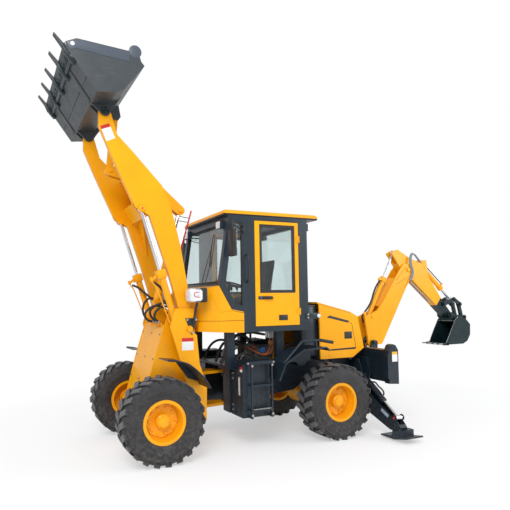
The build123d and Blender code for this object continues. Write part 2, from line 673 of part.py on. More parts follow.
# Fixed glass: windscreen, rear pane and the two front side panes
with BuildPart() as cab_glass:
    slab(from_axle((-905, 2255), (-1032, 3097), (-1038, 3097), (-911, 2255)), -699.7, 699.7)
    block(cab_rear_x + 20, cab_rear_x + 20 + glass_thickness, -639.7, 639.7, 2080.3, 3099.7)
    for side in (1, -1):
        slab(from_axle((-1224.7, 1936), (-1115.5, 1956), (-955.5, 2240), (-1080.5, 3109.7), (-1224.7, 3109.7)),
             *span(side, cab_half_width - 30, cab_half_width - 30 + glass_thickness))
cab_glass.part.label = "cab_glass"
export_step(cab_glass.part, "parts/cab_glass.step")

# Cab doors, hinged at their rear edge, each with its glass
for side_name, side in (("left", 1), ("right", -1)):
    with BuildPart() as cab_door:
        block(door_rear_x + door_gap, door_front_x - door_gap, *span(side, cab_half_width - cab_wall, cab_half_width),
              door_bottom_z + door_gap, door_top_z - door_gap)
        block(front_axle_x - 2090, front_axle_x - 1500, *span(side, cab_half_width - cab_wall, cab_half_width),
              2120, 3100, mode=Mode.SUBTRACT)
        for hinge_z in (1850, 2900):
            boss_z((door_rear_x, side * (cab_half_width + 12)), 9, hinge_z - 50, hinge_z + 50)
            block(door_rear_x, door_rear_x + 40, *span(side, cab_half_width - 2, cab_half_width + 10),
                  hinge_z - 40, hinge_z + 40)
    cab_door.part.label = "cab_door_" + side_name
    export_step(cab_door.part, "parts/cab_door_" + side_name + ".step")
    with BuildPart() as door_glass:
        block(front_axle_x - 2090 + seat_gap, front_axle_x - 1500 - seat_gap,
              *span(side, cab_half_width - 30, cab_half_width - 30 + glass_thickness),
              2120 + seat_gap, 3100 - seat_gap)
    door_glass.part.label = "door_glass_" + side_name
    export_step(door_glass.part, "parts/door_glass_" + side_name + ".step")

# Mirrors on their tube arms
with BuildPart() as mirrors:
    for side in (1, -1):
        foot_y = cab_half_width + seat_gap
        block(front_axle_x - 1275, front_axle_x - 1230, *span(side, foot_y, foot_y + 15), 2960, 3080)
        bar((front_axle_x - 1250, side * (foot_y + 11), 3060), (front_axle_x - 1000, side * 930, 3090), 10)
        bar((front_axle_x - 1250, side * (foot_y + 11), 2980), (front_axle_x - 1000, side * 930, 3060), 10)
        bar((front_axle_x - 1005, side * 930, 2960), (front_axle_x - 1005, side * 930, 3105), 12)
        block(front_axle_x - 1030, front_axle_x - 980, *span(side, 850, 1010), 2620, 2980)
mirrors.part.label = "mirrors"
export_step(mirrors.part, "parts/mirrors.step")

# Seat and controls
cab_inner_floor = cab_floor_z + cab_wall
with BuildPart() as seat_base:
    block(front_axle_x - 1950, front_axle_x - 1600, -190, 190, cab_inner_floor + seat_gap, 1960)
seat_base.part.label = "seat_base"
export_step(seat_base.part, "parts/seat_base.step")

with BuildPart() as seat_cushion:
    block(front_axle_x - 2010, front_axle_x - 1560, -240, 240, 1960 + seat_gap, 2080)
    slab(from_axle((-1930, 2060), (-2010, 2060), (-2110, 2660), (-2040, 2660)), -230, 230)
seat_cushion.part.label = "seat_cushion"
export_step(seat_cushion.part, "parts/seat_cushion.step")

with BuildPart() as steering_wheel:
    block(front_axle_x - 1380, front_axle_x - 1301, -60, 60, cab_inner_floor + seat_gap, 2100)
    bar((front_axle_x - 1345, 0, 2050), (front_axle_x - 1400, 0, 2270), 30)
    with BuildSketch(Plane(origin=(front_axle_x - 1400, 0, 2260), z_dir=(-55, 0, 220))) as ring:
        Circle(200)
        Circle(180, mode=Mode.SUBTRACT)
        Rectangle(370, 30)
    extrude(ring.sketch, amount=22)
steering_wheel.part.label = "steering_wheel"
export_step(steering_wheel.part, "parts/steering_wheel.step")

# Backhoe frame: a cross member of plates with end columns, and the side plates that tie it to the chassis
member_front_x = front_axle_x - 3600
member_rear_x = front_axle_x - 3760
member_web_x = member_front_x - 30
member_flange = 20
member_end_y = 900
column_inner_y = member_end_y - 1
middle_half = 240
member_top_z = swing_high_z + swing_ear
tail_inner_y = chassis_half_width + seat_gap
tail_outer_y = tail_inner_y + chassis_plate
housing_plate = 12
housing_front = stabiliser_x + leg_half_width + body_gap
housing_rear = stabiliser_x - leg_half_width - body_gap
under_deck_z = chassis_top_z - 50 - seat_gap
with BuildPart() as hoe_frame:
    flange_front_x = member_web_x - seat_gap
    plate_end_y = column_inner_y - seat_gap
    block(member_web_x, member_front_x, -plate_end_y, plate_end_y, swing_low_z, member_top_z)
    block(member_rear_x, flange_front_x, -plate_end_y, plate_end_y, member_top_z - member_flange, member_top_z)
    # thick plates in the middle that carry the swing bracket
    block(member_rear_x, flange_front_x, -middle_half, middle_half, swing_high_z,
          member_top_z - member_flange - seat_gap)
    block(member_rear_x, flange_front_x, -middle_half, middle_half, swing_low_z, swing_low_z + swing_ear)
    for side in (1, -1):
        # the lower flange is shorter, so that the folded bucket passes it
        block(member_rear_x + 35, flange_front_x, *span(side, middle_half + seat_gap, plate_end_y),
              swing_low_z, swing_low_z + member_flange)
        # side plate between the chassis and the cross member, and the box beam beside it
        slab([(front_axle_x - 3290, under_deck_z), (front_axle_x - 3470, 1215), (member_front_x + seat_gap, 1215),
              (member_front_x + seat_gap, swing_low_z), (front_axle_x - 3380, swing_low_z),
              (front_axle_x - 3235, 811), (front_axle_x - 2985, under_deck_z)],
             *span(side, tail_inner_y, tail_outer_y))
        block(member_front_x + seat_gap, housing_rear - housing_plate - seat_gap,
              *span(side, tail_outer_y + seat_gap, 560), 760, 1080)
        # end column with its lifting eye
        slab(from_axle((-3600, 1225), (-3600, 720), (-3790, 705), (-3790, 1225), (-3740, 1300), (-3690, 1317),
                       (-3640, 1300)), *span(side, column_inner_y, 1000))
        slab(from_axle((-3580, 1170), (-3620, 1170), (-3620, 790), (-3580, 790)), *span(side, column_inner_y, 1000))
        boss((front_axle_x - 3690, 1262), 26, *span(side, column_inner_y, 1000), mode=Mode.SUBTRACT)
hoe_frame.part.label = "hoe_frame"
export_step(hoe_frame.part, "parts/hoe_frame.step")

# Stabiliser housings: on each side two bored plates with the pins of the leg and of its cylinder through them
with BuildPart() as stabiliser_housings:
    pin_reach = housing_plate + 8
    for side in (1, -1):
        inner_y = tail_outer_y + seat_gap
        outline = [(inner_y, 430), (inner_y, 1080), (600, 1080), (690, 860), (640, 700), (570, 420)]
        for plate_x in (housing_rear - housing_plate, housing_front):
            wall([(side * y, z) for y, z in outline], plate_x, plate_x + housing_plate)
        for centre, radius in ((leg_pin, 28), (leg_cylinder_base, 22)):
            pin_centre = (side * centre[0], centre[1])
            pin_ends = (housing_rear - pin_reach, housing_front + pin_reach)
            boss_x(pin_centre, radius + seat_gap, *pin_ends, mode=Mode.SUBTRACT)
            boss_x(pin_centre, radius, *pin_ends)
stabiliser_housings.part.label = "stabiliser_housings"
export_step(stabiliser_housings.part, "parts/stabiliser_housings.step")

# Swing bracket: two ears joined by the upright pin
with BuildPart() as swing_bracket:
    for z_low in (swing_low_z, swing_high_z):
        block(swing_x, member_rear_x - seat_gap, -swing_ear_radius, swing_ear_radius, z_low, z_low + swing_ear)
        boss_z((swing_x, 0), swing_ear_radius, z_low, z_low + swing_ear)
    boss_z((swing_x, 0), 32, swing_low_z - 20, member_top_z + 20)
swing_bracket.part.label = "swing_bracket"
export_step(swing_bracket.part, "parts/swing_bracket.step")

# Swing post with the plates that hold the boom
post_low_z = swing_low_z + swing_ear + body_gap
post_high_z = swing_high_z - body_gap
post_plate_y = boom_half_width + body_gap
with BuildPart() as swing_post:
    boss_z((swing_x, 0), 78, post_low_z, post_high_z)
    for side in (1, -1):
        slab(from_axle((-4010, 1150), (-4020, 1270), (-4050, 1300), (-4130, 1300), (-4160, 1270), (-4150, 1150),
                       (-4090, 800), (-3980, 800)), *span(side, post_plate_y, post_plate_y + 30))
        slab(from_axle((-3890, post_low_z), (-3890, 1150), (-4090, 1150), (-4090, post_low_z)),
             *span(side, post_plate_y, post_plate_y + 30))
        block(swing_x - 40, swing_x + 20, *span(side, 60, post_plate_y + 30), post_low_z, 1120)
        boss(boom_base, 45, *span(side, hoe_eye_half + side_gap, post_plate_y + 2))
        # each side has a boom pin of its own, so that the boom cylinder passes between them
        boss(boom_pin, pin_radius, *span(side, boom_half_width - boom_plate + side_gap, post_plate_y + 40))
    boss_z((swing_x, 0), 32 + pin_gap, post_low_z, post_high_z, mode=Mode.SUBTRACT)
    boss(boom_base, 22, -post_plate_y - 36, post_plate_y + 36)
swing_post.part.label = "swing_post"
export_step(swing_post.part, "parts/swing_post.step")

# Boom: tapering box, forked at both ends
boom_side = from_axle(
    (-3988, 1290), (-3929, 1701), (-4211, 1812), (-4377, 2011), (-4745, 2522), (-4860, 2640), (-5030, 2620),
    (-5040, 2480), (-4952, 2316), (-4294, 1230), (-4160, 1218),
)
boom_foot_radius = 95
boom_fork = boom_half_width - boom_plate
with BuildPart() as boom:
    slab(boom_side, -boom_half_width, boom_half_width)
    boss(boom_pin, boom_foot_radius, -boom_half_width, boom_half_width)
    slab(from_axle((-4660, 2300), (-4600, 2700), (-4900, 2800), (-5200, 2800), (-5200, 2200), (-4840, 2100)),
         -dipper_half_width - body_gap, dipper_half_width + body_gap, mode=Mode.SUBTRACT)
    slab(from_axle((-3850, 1000), (-3850, 1900), (-4240, 1900), (-4520, 1800), (-4620, 1640), (-4620, 1000)),
         -boom_fork, boom_fork, mode=Mode.SUBTRACT)
    boss(boom_pin, pin_radius + pin_gap, -boom_half_width, boom_half_width, mode=Mode.SUBTRACT)
    for eye, inner_y in ((crowd_base, hoe_eye_half + side_gap), (boom_eye, hoe_barrel * collar_ratio + 6)):
        for side in (1, -1):
            boss(eye, 40, *span(side, inner_y, boom_fork + 2))
    boss(crowd_base, 20, -boom_half_width, boom_half_width)
    boss(dipper_pin, pin_radius, -boom_half_width - 12, boom_half_width + 12)
boom.part.label = "boom"
export_step(boom.part, "parts/boom.step")

with BuildPart() as dipper:
    slab(from_axle((-4606, 2832), (-4746, 2899), (-4986, 2769), (-5319, 2639), (-5767, 2018), (-6020, 1730),
                   (-5930, 1640), (-5574, 1946), (-5065, 2360), (-4900, 2430)), -dipper_half_width, dipper_half_width)
    slab(from_axle((-4400, 2700), (-4400, 3000), (-4860, 3000), (-4880, 2760), (-4800, 2660), (-4600, 2600)),
         -hoe_eye_half - 2, hoe_eye_half + 2, mode=Mode.SUBTRACT)
    boss(hoe_pin, 55, -dipper_half_width, dipper_half_width)
    for eye in (dipper_pin, hoe_pin):
        boss(eye, pin_radius + pin_gap, -dipper_half_width, dipper_half_width, mode=Mode.SUBTRACT)
    boss(lever_pin, 28, -dipper_half_width - body_gap - 26, dipper_half_width + body_gap + 26)
    boss(hoe_cylinder_base, 110, -hoe_eye_half - 2, hoe_eye_half + 2, mode=Mode.SUBTRACT)
    for side in (1, -1):
        slab(from_axle((-5230, 2580), (-5300, 2720), (-5450, 2720), (-5500, 2400)),
             *span(side, hoe_eye_half + side_gap, hoe_eye_half + side_gap + 20))
    boss(hoe_cylinder_base, 20, -hoe_eye_half - 28, hoe_eye_half + 28)
dipper.part.label = "dipper"
export_step(dipper.part, "parts/dipper.step")

# Backhoe cylinders and rods: name, base, eye, barrel length, rod length
hoe_cylinders = (
    ("boom", boom_base, boom_eye, 490, 480, 22),
    ("crowd", crowd_base, crowd_eye, 790, 880, 20),
    ("hoe", hoe_cylinder_base, lever_eye, 620, 680, 20),
)
for name, base, eye, barrel_length, rod_length, pin in hoe_cylinders:
    with BuildPart() as cylinder:
        barrel(at(base, 0), at(eye, 0), barrel_length, hoe_barrel, hoe_rod_radius, 44, hoe_eye_half, pin)
    cylinder.part.label = name + "_cylinder"
    export_step(cylinder.part, "parts/" + name + "_cylinder.step")
    with BuildPart() as piston:
        piston_rod(at(base, 0), at(eye, 0), rod_length, hoe_rod_radius, 38, 34)
    piston.part.label = name + "_rod"
    export_step(piston.part, "parts/" + name + "_rod.step")

# Bucket lever: two arched plates outside the dipper, hollow below so that they straddle the bucket's pin
lever_low_y = dipper_half_width + body_gap
lever_plate = 22
lever_cap = 8
lever_half = 36
lever_eye_radius = 42
with BuildPart() as hoe_lever:
    for side in (1, -1):
        plate = span(side, lever_low_y, lever_low_y + lever_plate)
        slab(beam(lever_pin, lever_eye, lever_half, lever_half), *plate)
        slab(beam(lever_eye, lever_end, lever_half, lever_half), *plate)
        for eye in (lever_pin, lever_eye, lever_end):
            boss(eye, lever_eye_radius, *plate)
            boss(eye, 28, *span(side, lever_low_y + lever_plate, lever_low_y + lever_plate + lever_cap))
        boss(lever_pin, 28 + pin_gap, *span(side, lever_low_y, lever_low_y + lever_plate + lever_cap),
             mode=Mode.SUBTRACT)
hoe_lever.part.label = "hoe_lever"
export_step(hoe_lever.part, "parts/hoe_lever.step")

# Link of two bars, so that the rod's eye can pass between them, joined by a tube at the bucket
link_inner_y = hoe_eye_half + 4
with BuildPart() as hoe_link:
    for side in (1, -1):
        bar_y = span(side, link_inner_y, lever_low_y - side_gap)
        slab(beam(lever_end, hoe_link_pin, 34, 34), *bar_y)
        boss(lever_end, 42, *bar_y)
    boss(hoe_link_pin, 40, -lever_low_y + side_gap, lever_low_y - side_gap)
    boss(hoe_link_pin, 22 + pin_gap, -lever_low_y, lever_low_y, mode=Mode.SUBTRACT)
hoe_link.part.label = "hoe_link"
export_step(hoe_link.part, "parts/hoe_link.step")

# Backhoe bucket
hoe_side = from_axle(
    (-6060, 1665), (-6255, 1621), (-6372, 1509), (-6360, 1313), (-6280, 1200), (-6166, 1150), (-5719, 1149),
    (-5860, 1400), (-5985, 1600),
)
hoe_shell = from_axle((-5990, 1580), (-6230, 1572), (-6335, 1480), (-6360, 1313), (-6280, 1200), (-6166, 1150),
                      (-5719, 1149))
ear_inner_y = lever_low_y + lever_plate + lever_cap + 6
ear_outer_y = ear_inner_y + 20
with BuildPart() as hoe_bucket:
    sheet(hoe_shell, hoe_wall, -hoe_half_width + 2, hoe_half_width - 2, side=Side.LEFT)
    for side in (1, -1):
        slab(hoe_side, *span(side, hoe_half_width - hoe_wall, hoe_half_width))
        # the ears stand outside the lever's plates
        ear = span(side, ear_inner_y, ear_outer_y)
        slab(from_axle((-5905, 1690), (-5960, 1745), (-6080, 1680), (-6260, 1680), (-6345, 1680), (-6345, 1600),
                       (-6230, 1560), (-5990, 1570)), *ear)
        boss(hoe_pin, 55, *ear)
        boss(hoe_link_pin, 40, *ear)
    for tooth in range(4):
        tooth_y = (hoe_half_width - 30) * (2 * tooth / 3 - 1)
        slab(beam((front_axle_x - 5800, 1155), (front_axle_x - 5540, 1168), 16, 5), tooth_y - 24, tooth_y + 24)
    boss(hoe_pin, pin_radius, -ear_outer_y - 8, ear_outer_y + 8)
    boss(hoe_link_pin, 22, -ear_outer_y - 8, ear_outer_y + 8)
hoe_bucket.part.label = "hoe_bucket"
export_step(hoe_bucket.part, "parts/hoe_bucket.step")

# Stabilisers: leg with its foot, cylinder and rod on each side
leg_outline = [(450, 420), (430, 480), (460, 560), (610, 648), (690, 648), (1053, 425), (1380, 250), (1440, 180),
               (1400, 110), (1227, 117), (697, 315), (540, 400)]
leg_slot = [(560, 470), (560, 900), (1500, 700), (1500, 330), (1390, 200), (1227, 140), (697, 335)]
foot_outline = [(1130, 28), (1130, 46), (1345, 66), (1370, 150), (1470, 150), (1470, 70), (1640, 100),
                (1640, 78), (1400, 24)]
for side_name, side in (("left", 1), ("right", -1)):
    with BuildPart() as leg:
        wall([(side * y, z) for y, z in leg_outline], stabiliser_x - leg_half_width, stabiliser_x + leg_half_width)
        wall([(side * y, z) for y, z in leg_slot], stabiliser_x - leg_half_width + leg_plate,
             stabiliser_x + leg_half_width - leg_plate, mode=Mode.SUBTRACT)
        boss_x((side * leg_pin[0], leg_pin[1]), 28 + pin_gap, stabiliser_x - leg_half_width,
               stabiliser_x + leg_half_width, mode=Mode.SUBTRACT)
        wall([(side * y, z) for y, z in foot_outline], stabiliser_x - 150, stabiliser_x + 150)
    leg.part.label = "stabiliser_leg_" + side_name
    export_step(leg.part, "parts/stabiliser_leg_" + side_name + ".step")
    base = (stabiliser_x, side * leg_cylinder_base[0], leg_cylinder_base[1])
    eye = (stabiliser_x, side * leg_rod_eye[0], leg_rod_eye[1])
    with BuildPart() as leg_cylinder:
        barrel(base, eye, 560, leg_barrel, leg_rod, 38, 50, 22, axis=Vector(1, 0, 0))
    leg_cylinder.part.label = "stabiliser_cylinder_" + side_name
    export_step(leg_cylinder.part, "parts/stabiliser_cylinder_" + side_name + ".step")
    with BuildPart() as leg_piston:
        piston_rod(base, eye, 480, leg_rod, 34, leg_half_width - leg_plate - side_gap, axis=Vector(1, 0, 0))
    leg_piston.part.label = "stabiliser_rod_" + side_name
    export_step(leg_piston.part, "parts/stabiliser_rod_" + side_name + ".step")
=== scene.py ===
# %% [markdown]
# A backhoe loader, dressed step by step.
# The shapes come from a finished CAD model, which loads here as a fixed frame of bodies and nodes.
# Each step below adds one finish or one small piece to it. Everything is in metres, with +X forward,
# +Y to the machine's left and +Z up, so a piece is made right where it belongs.

import bpy
import bmesh
import math
from mathutils import Matrix, Vector


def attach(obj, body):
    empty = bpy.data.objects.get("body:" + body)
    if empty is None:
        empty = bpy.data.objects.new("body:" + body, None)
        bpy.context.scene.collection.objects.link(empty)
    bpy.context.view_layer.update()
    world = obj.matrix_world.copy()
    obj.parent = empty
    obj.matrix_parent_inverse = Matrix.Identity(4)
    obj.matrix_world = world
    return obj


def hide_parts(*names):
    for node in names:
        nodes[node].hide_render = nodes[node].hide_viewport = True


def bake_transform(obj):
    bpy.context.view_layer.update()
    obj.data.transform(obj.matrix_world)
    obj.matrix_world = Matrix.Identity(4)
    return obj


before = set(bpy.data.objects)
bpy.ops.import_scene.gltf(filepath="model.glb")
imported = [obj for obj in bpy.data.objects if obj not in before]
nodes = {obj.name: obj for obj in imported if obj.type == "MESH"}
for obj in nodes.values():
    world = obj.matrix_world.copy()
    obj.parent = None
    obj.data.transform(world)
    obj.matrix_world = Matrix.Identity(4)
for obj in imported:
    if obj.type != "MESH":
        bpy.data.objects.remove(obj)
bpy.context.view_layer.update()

# %% [markdown]
# The camera stands where the photographer stood: beside the machine, a little ahead of its middle, about two
# metres up, looking slightly back. Its place and lens were worked out from the wheels and the cab, and a small
# shift keeps the machine where it sits in the picture.

# %% Camera
yaw, pitch, roll = -0.4227, 0.0572, -0.0125
camera_place = Vector((4.501, 6.9724, 2.0347))
look = Vector((math.sin(yaw) * math.cos(pitch), -math.cos(yaw) * math.cos(pitch), math.sin(pitch)))
right = look.cross(Vector((0, 0, 1))).normalized()
up = right.cross(look)
right, up = (right * math.cos(roll) + up * math.sin(roll), up * math.cos(roll) - right * math.sin(roll))
camera_data = bpy.data.cameras.new("camera")
camera = bpy.data.objects.new("camera", camera_data)
bpy.context.scene.collection.objects.link(camera)
turn = Matrix((right, up, -look)).transposed()
camera.matrix_world = Matrix.Translation(camera_place) @ turn.to_4x4()
picture_size, centre_x, centre_y = 510, 215.5454, 270.9162
camera_data.lens = 35.414
camera_data.sensor_width = 36
camera_data.shift_x = (picture_size / 2 - centre_x) / picture_size
camera_data.shift_y = (centre_y - picture_size / 2) / picture_size
camera_data.clip_end = 200
bpy.context.scene.camera = camera
print("camera shift:", camera_data.shift_x, camera_data.shift_y)

# %% [markdown]
# Shading starts with effects that several finishes share. Paint on a machine is never one flat colour: it fades
# in soft patches, carries dust low down, and its gloss is uneven. One node group makes all of that from the
# place on the object, so the same effect can be set stronger on a bucket and weaker on a cab.


# %% Shared effect: weathered surface
def new_group(name, inputs, outputs):
    group = bpy.data.node_groups.new(name, "ShaderNodeTree")
    for label, kind, value in inputs:
        socket = group.interface.new_socket(label, in_out="INPUT", socket_type=kind)
        socket.default_value = value
    for label, kind in outputs:
        group.interface.new_socket(label, in_out="OUTPUT", socket_type=kind)
    return group, group.nodes.new("NodeGroupInput"), group.nodes.new("NodeGroupOutput")


def noise(tree, vector, scale, detail=4.0, rough=0.55):
    node = tree.nodes.new("ShaderNodeTexNoise")
    node.inputs["Scale"].default_value = scale
    node.inputs["Detail"].default_value = detail
    node.inputs["Roughness"].default_value = rough
    tree.links.new(vector, node.inputs["Vector"])
    return node.outputs["Fac"]


def remap(tree, value, low, high, out_low=0.0, out_high=1.0):
    node = tree.nodes.new("ShaderNodeMapRange")
    node.inputs["From Min"].default_value = low
    node.inputs["From Max"].default_value = high
    node.inputs["To Min"].default_value = out_low
    node.inputs["To Max"].default_value = out_high
    tree.links.new(value, node.inputs["Value"])
    return node.outputs["Result"]


def math_node(tree, operation, a, b):
    node = tree.nodes.new("ShaderNodeMath")
    node.operation = operation
    for socket, value in zip(node.inputs, (a, b)):
        if isinstance(value, (int, float)):
            socket.default_value = value
        else:
            tree.links.new(value, socket)
    return node.outputs[0]


def blend_colours(tree, factor, a, b):
    node = tree.nodes.new("ShaderNodeMix")
    node.data_type = "RGBA"
    tree.links.new(factor, node.inputs[0])
    for socket, value in zip((node.inputs[6], node.inputs[7]), (a, b)):
        if isinstance(value, tuple):
            socket.default_value = value
        else:
            tree.links.new(value, socket)
    return node.outputs[2]


def colour4(rgb):
    return (*rgb, 1.0)


weathered, entry, leave = new_group(
    "weathered surface",
    [("Colour", "NodeSocketColor", (0.8, 0.4, 0.02, 1)), ("Faded", "NodeSocketColor", (0.7, 0.4, 0.1, 1)),
     ("Dust", "NodeSocketFloat", 0.2), ("Patch Scale", "NodeSocketFloat", 1.5),
     ("Roughness", "NodeSocketFloat", 0.35)],
    [("Colour", "NodeSocketColor"), ("Roughness", "NodeSocketFloat"), ("Height", "NodeSocketFloat")])
place = weathered.nodes.new("ShaderNodeTexCoord").outputs["Object"]
patches = weathered.nodes.new("ShaderNodeTexNoise")
patches.inputs["Detail"].default_value = 6.0
weathered.links.new(place, patches.inputs["Vector"])
weathered.links.new(entry.outputs["Patch Scale"], patches.inputs["Scale"])
patch_mask = remap(weathered, patches.outputs["Fac"], 0.42, 0.72)
faded = blend_colours(weathered, patch_mask, entry.outputs["Colour"], entry.outputs["Faded"])
height_split = weathered.nodes.new("ShaderNodeSeparateXYZ")
weathered.links.new(place, height_split.inputs[0])
low_down = remap(weathered, height_split.outputs["Z"], 1.1, 0.15, 0.15, 1.0)
specks = remap(weathered, noise(weathered, place, 26.0, 8.0, 0.7), 0.46, 0.72)
dust_mask = math_node(weathered, "MULTIPLY", math_node(weathered, "MULTIPLY", low_down, specks),
                      entry.outputs["Dust"])
dusty = blend_colours(weathered, dust_mask, faded, (0.27, 0.24, 0.2, 1))
weathered.links.new(dusty, leave.inputs["Colour"])
uneven = remap(weathered, noise(weathered, place, 9.0), 0.3, 0.7, -0.06, 0.08)
rough_sum = math_node(weathered, "ADD", entry.outputs["Roughness"], uneven)
weathered.links.new(math_node(weathered, "ADD", rough_sum, dust_mask), leave.inputs["Roughness"])
weathered.links.new(noise(weathered, place, 140.0, 2.0), leave.inputs["Height"])
print("group:", weathered.name)

# %% [markdown]
# Working steel is scratched where earth has slid over it. Long thin scratches come from noise that is squeezed
# along one direction, and they show the lighter metal below the paint.

# %% Shared effect: scratches
scratched, scratch_entry, scratch_leave = new_group(
    "scratches",
    [("Colour", "NodeSocketColor", (0.05, 0.06, 0.07, 1)), ("Bare", "NodeSocketColor", (0.25, 0.25, 0.26, 1)),
     ("Amount", "NodeSocketFloat", 0.5)],
    [("Colour", "NodeSocketColor"), ("Mask", "NodeSocketFloat")])
scratch_place = scratched.nodes.new("ShaderNodeTexCoord").outputs["Object"]
squeeze = scratched.nodes.new("ShaderNodeMapping")
squeeze.inputs["Rotation"].default_value = (0, math.radians(38), 0)
squeeze.inputs["Scale"].default_value = (3.0, 90.0, 30.0)
scratched.links.new(scratch_place, squeeze.inputs["Vector"])
lines = remap(scratched, noise(scratched, squeeze.outputs[0], 1.4, 5.0, 0.6), 0.6, 0.74)
broken = remap(scratched, noise(scratched, scratch_place, 3.5, 3.0), 0.4, 0.65)
scratch_mask = math_node(scratched, "MULTIPLY", math_node(scratched, "MULTIPLY", lines, broken),
                         scratch_entry.outputs["Amount"])
scratched.links.new(blend_colours(scratched, scratch_mask, scratch_entry.outputs["Colour"],
                                  scratch_entry.outputs["Bare"]), scratch_leave.inputs["Colour"])
scratched.links.new(scratch_mask, scratch_leave.inputs["Mask"])
print("group:", scratched.name)


# %% [markdown]
# Each finish is one material with the Principled shader. The shared groups feed its colour, roughness and bump,
# and numbers that are the same all over stay on the shader's own sockets.


# %% Finishes
def finish_base(name):
    material = bpy.data.materials.new(name)
    material.use_nodes = True
    return material, material.node_tree, material.node_tree.nodes["Principled BSDF"]


def add_group(tree, group, values):
    node = tree.nodes.new("ShaderNodeGroup")
    node.node_tree = group
    for label, value in values.items():
        node.inputs[label].default_value = value
    return node


def coat(name, colour, faded, roughness=0.35, dust=0.3, patch=1.5, bump=0.02, clear=0.0, metallic=0.0,
         scratches=0.0, bare=(0.3, 0.3, 0.31), shine=0.5):
    """A weathered coat of paint, rubber or plastic."""
    material, tree, shader = finish_base(name)
    worn = add_group(tree, weathered, {"Colour": colour4(colour), "Faded": colour4(faded), "Dust": dust,
                                       "Patch Scale": patch, "Roughness": roughness})
    colour_out = worn.outputs["Colour"]
    if scratches:
        marks = add_group(tree, scratched, {"Bare": colour4(bare), "Amount": scratches})
        tree.links.new(colour_out, marks.inputs["Colour"])
        colour_out = marks.outputs["Colour"]
    tree.links.new(colour_out, shader.inputs["Base Color"])
    tree.links.new(worn.outputs["Roughness"], shader.inputs["Roughness"])
    shader.inputs["Metallic"].default_value = metallic
    shader.inputs["Specular IOR Level"].default_value = shine
    shader.inputs["Coat Weight"].default_value = clear
    shader.inputs["Coat Roughness"].default_value = 0.12
    relief = tree.nodes.new("ShaderNodeBump")
    relief.inputs["Strength"].default_value = bump
    relief.inputs["Distance"].default_value = 0.01
    tree.links.new(worn.outputs["Height"], relief.inputs["Height"])
    tree.links.new(relief.outputs["Normal"], shader.inputs["Normal"])
    return material


yellow_values = {"colour": (0.9, 0.385, 0.001), "faded": (0.82, 0.34, 0.003), "roughness": 0.3, "dust": 0.12,
                 "clear": 0.08, "shine": 0.25}
dark_green = (0.005, 0.017, 0.021)
yellow = coat("orange yellow paint", **yellow_values)
navy = coat("dark navy paint", (0.007, 0.016, 0.026), (0.013, 0.024, 0.035), 0.36, 0.2, clear=0.1, shine=0.35)
cab_grey = coat("dark cab paint", (0.01, 0.02, 0.03), (0.018, 0.03, 0.042), 0.34, 0.05, clear=0.15, shine=0.4)
# Dark orange for the groove and creases in the yellow sheet: painted shade along them.
painted_crease_shade = coat("painted crease shade", (0.3, 0.1, 0.002), (0.26, 0.09, 0.003), 0.4, 0.1, 4.0, 0.02, shine=0.25)
green_black = coat("dark green paint", dark_green, (0.01, 0.026, 0.03), 0.36, 0.15, 2.4, 0.04,
                   scratches=0.15, bare=(0.12, 0.13, 0.13), shine=0.3)
# Black plastic. The same black also serves as painted shade in the hood's slots and vent.
black_plastic_and_opening_shade = coat("black plastic and opening shade", (0.012, 0.012, 0.013), (0.022, 0.022, 0.024), 0.45, 0.1, 6.0, 0.12)
black_rubber = coat("black rubber", (0.014, 0.014, 0.014), (0.026, 0.026, 0.027), 0.62, 0.15, 6.0, 0.2)
grey_hose = coat("grey hose sleeve", (0.2, 0.235, 0.27), (0.26, 0.29, 0.33), 0.5, 0.1, 12.0, 0.3)
vinyl = coat("black seat vinyl", (0.02, 0.02, 0.022), (0.03, 0.03, 0.033), 0.5, 0.0, 7.0, 0.35)
white_plate = coat("white label film", (0.78, 0.78, 0.76), (0.7, 0.7, 0.68), 0.35, 0.05, 5.0, 0.02)
red_plate = coat("red label film", (0.55, 0.012, 0.012), (0.5, 0.02, 0.02), 0.35, 0.05, 5.0, 0.02)
steel = coat("zinc plated steel", (0.5, 0.49, 0.46), (0.4, 0.38, 0.34), 0.32, 0.1, 9.0, 0.05, metallic=0.85)
iron = coat("rough cast iron", (0.06, 0.06, 0.06), (0.09, 0.08, 0.07), 0.7, 0.3, 4.0, 0.4)
amber = coat("amber beacon", (0.85, 0.22, 0.01), (0.8, 0.25, 0.02), 0.2, 0.0, 8.0, 0.02, clear=0.5)
blue_plastic = coat("blue plastic", (0.02, 0.12, 0.4), (0.03, 0.14, 0.42), 0.35, 0.05, 8.0, 0.05)
mirror_glass = coat("mirror glass", (0.75, 0.78, 0.8), (0.72, 0.75, 0.78), 0.03, 0.0, 4.0, 0.0, metallic=1.0)
print("finishes:", len(bpy.data.materials))

# %% [markdown]
# Polished rods are hard chrome, nearly a mirror, with fine rings left by the grinder. Glass lets light through
# and is a little green at the edge. Both are short materials of their own.


# %% Chrome and glass
def polished_rod(name):
    material, tree, shader = finish_base(name)
    shader.inputs["Metallic"].default_value = 1.0
    worn = add_group(tree, weathered, {"Colour": (0.78, 0.78, 0.79, 1), "Faded": (0.66, 0.67, 0.68, 1),
                                       "Dust": 0.05, "Patch Scale": 4.0, "Roughness": 0.12})
    tree.links.new(worn.outputs["Colour"], shader.inputs["Base Color"])
    tree.links.new(worn.outputs["Roughness"], shader.inputs["Roughness"])
    return material


def window_glass(name, tint, roughness):
    material, tree, shader = finish_base(name)
    shader.inputs["Transmission Weight"].default_value = 1.0
    shader.inputs["IOR"].default_value = 1.45
    coords = tree.nodes.new("ShaderNodeTexCoord").outputs["Object"]
    smear = remap(tree, noise(tree, coords, 3.0), 0.3, 0.8)
    tree.links.new(blend_colours(tree, smear, colour4(tint), colour4(tuple(0.9 * c for c in tint))),
                   shader.inputs["Base Color"])
    tree.links.new(remap(tree, noise(tree, coords, 2.0), 0.35, 0.8, roughness, roughness + 0.05),
                   shader.inputs["Roughness"])
    return material


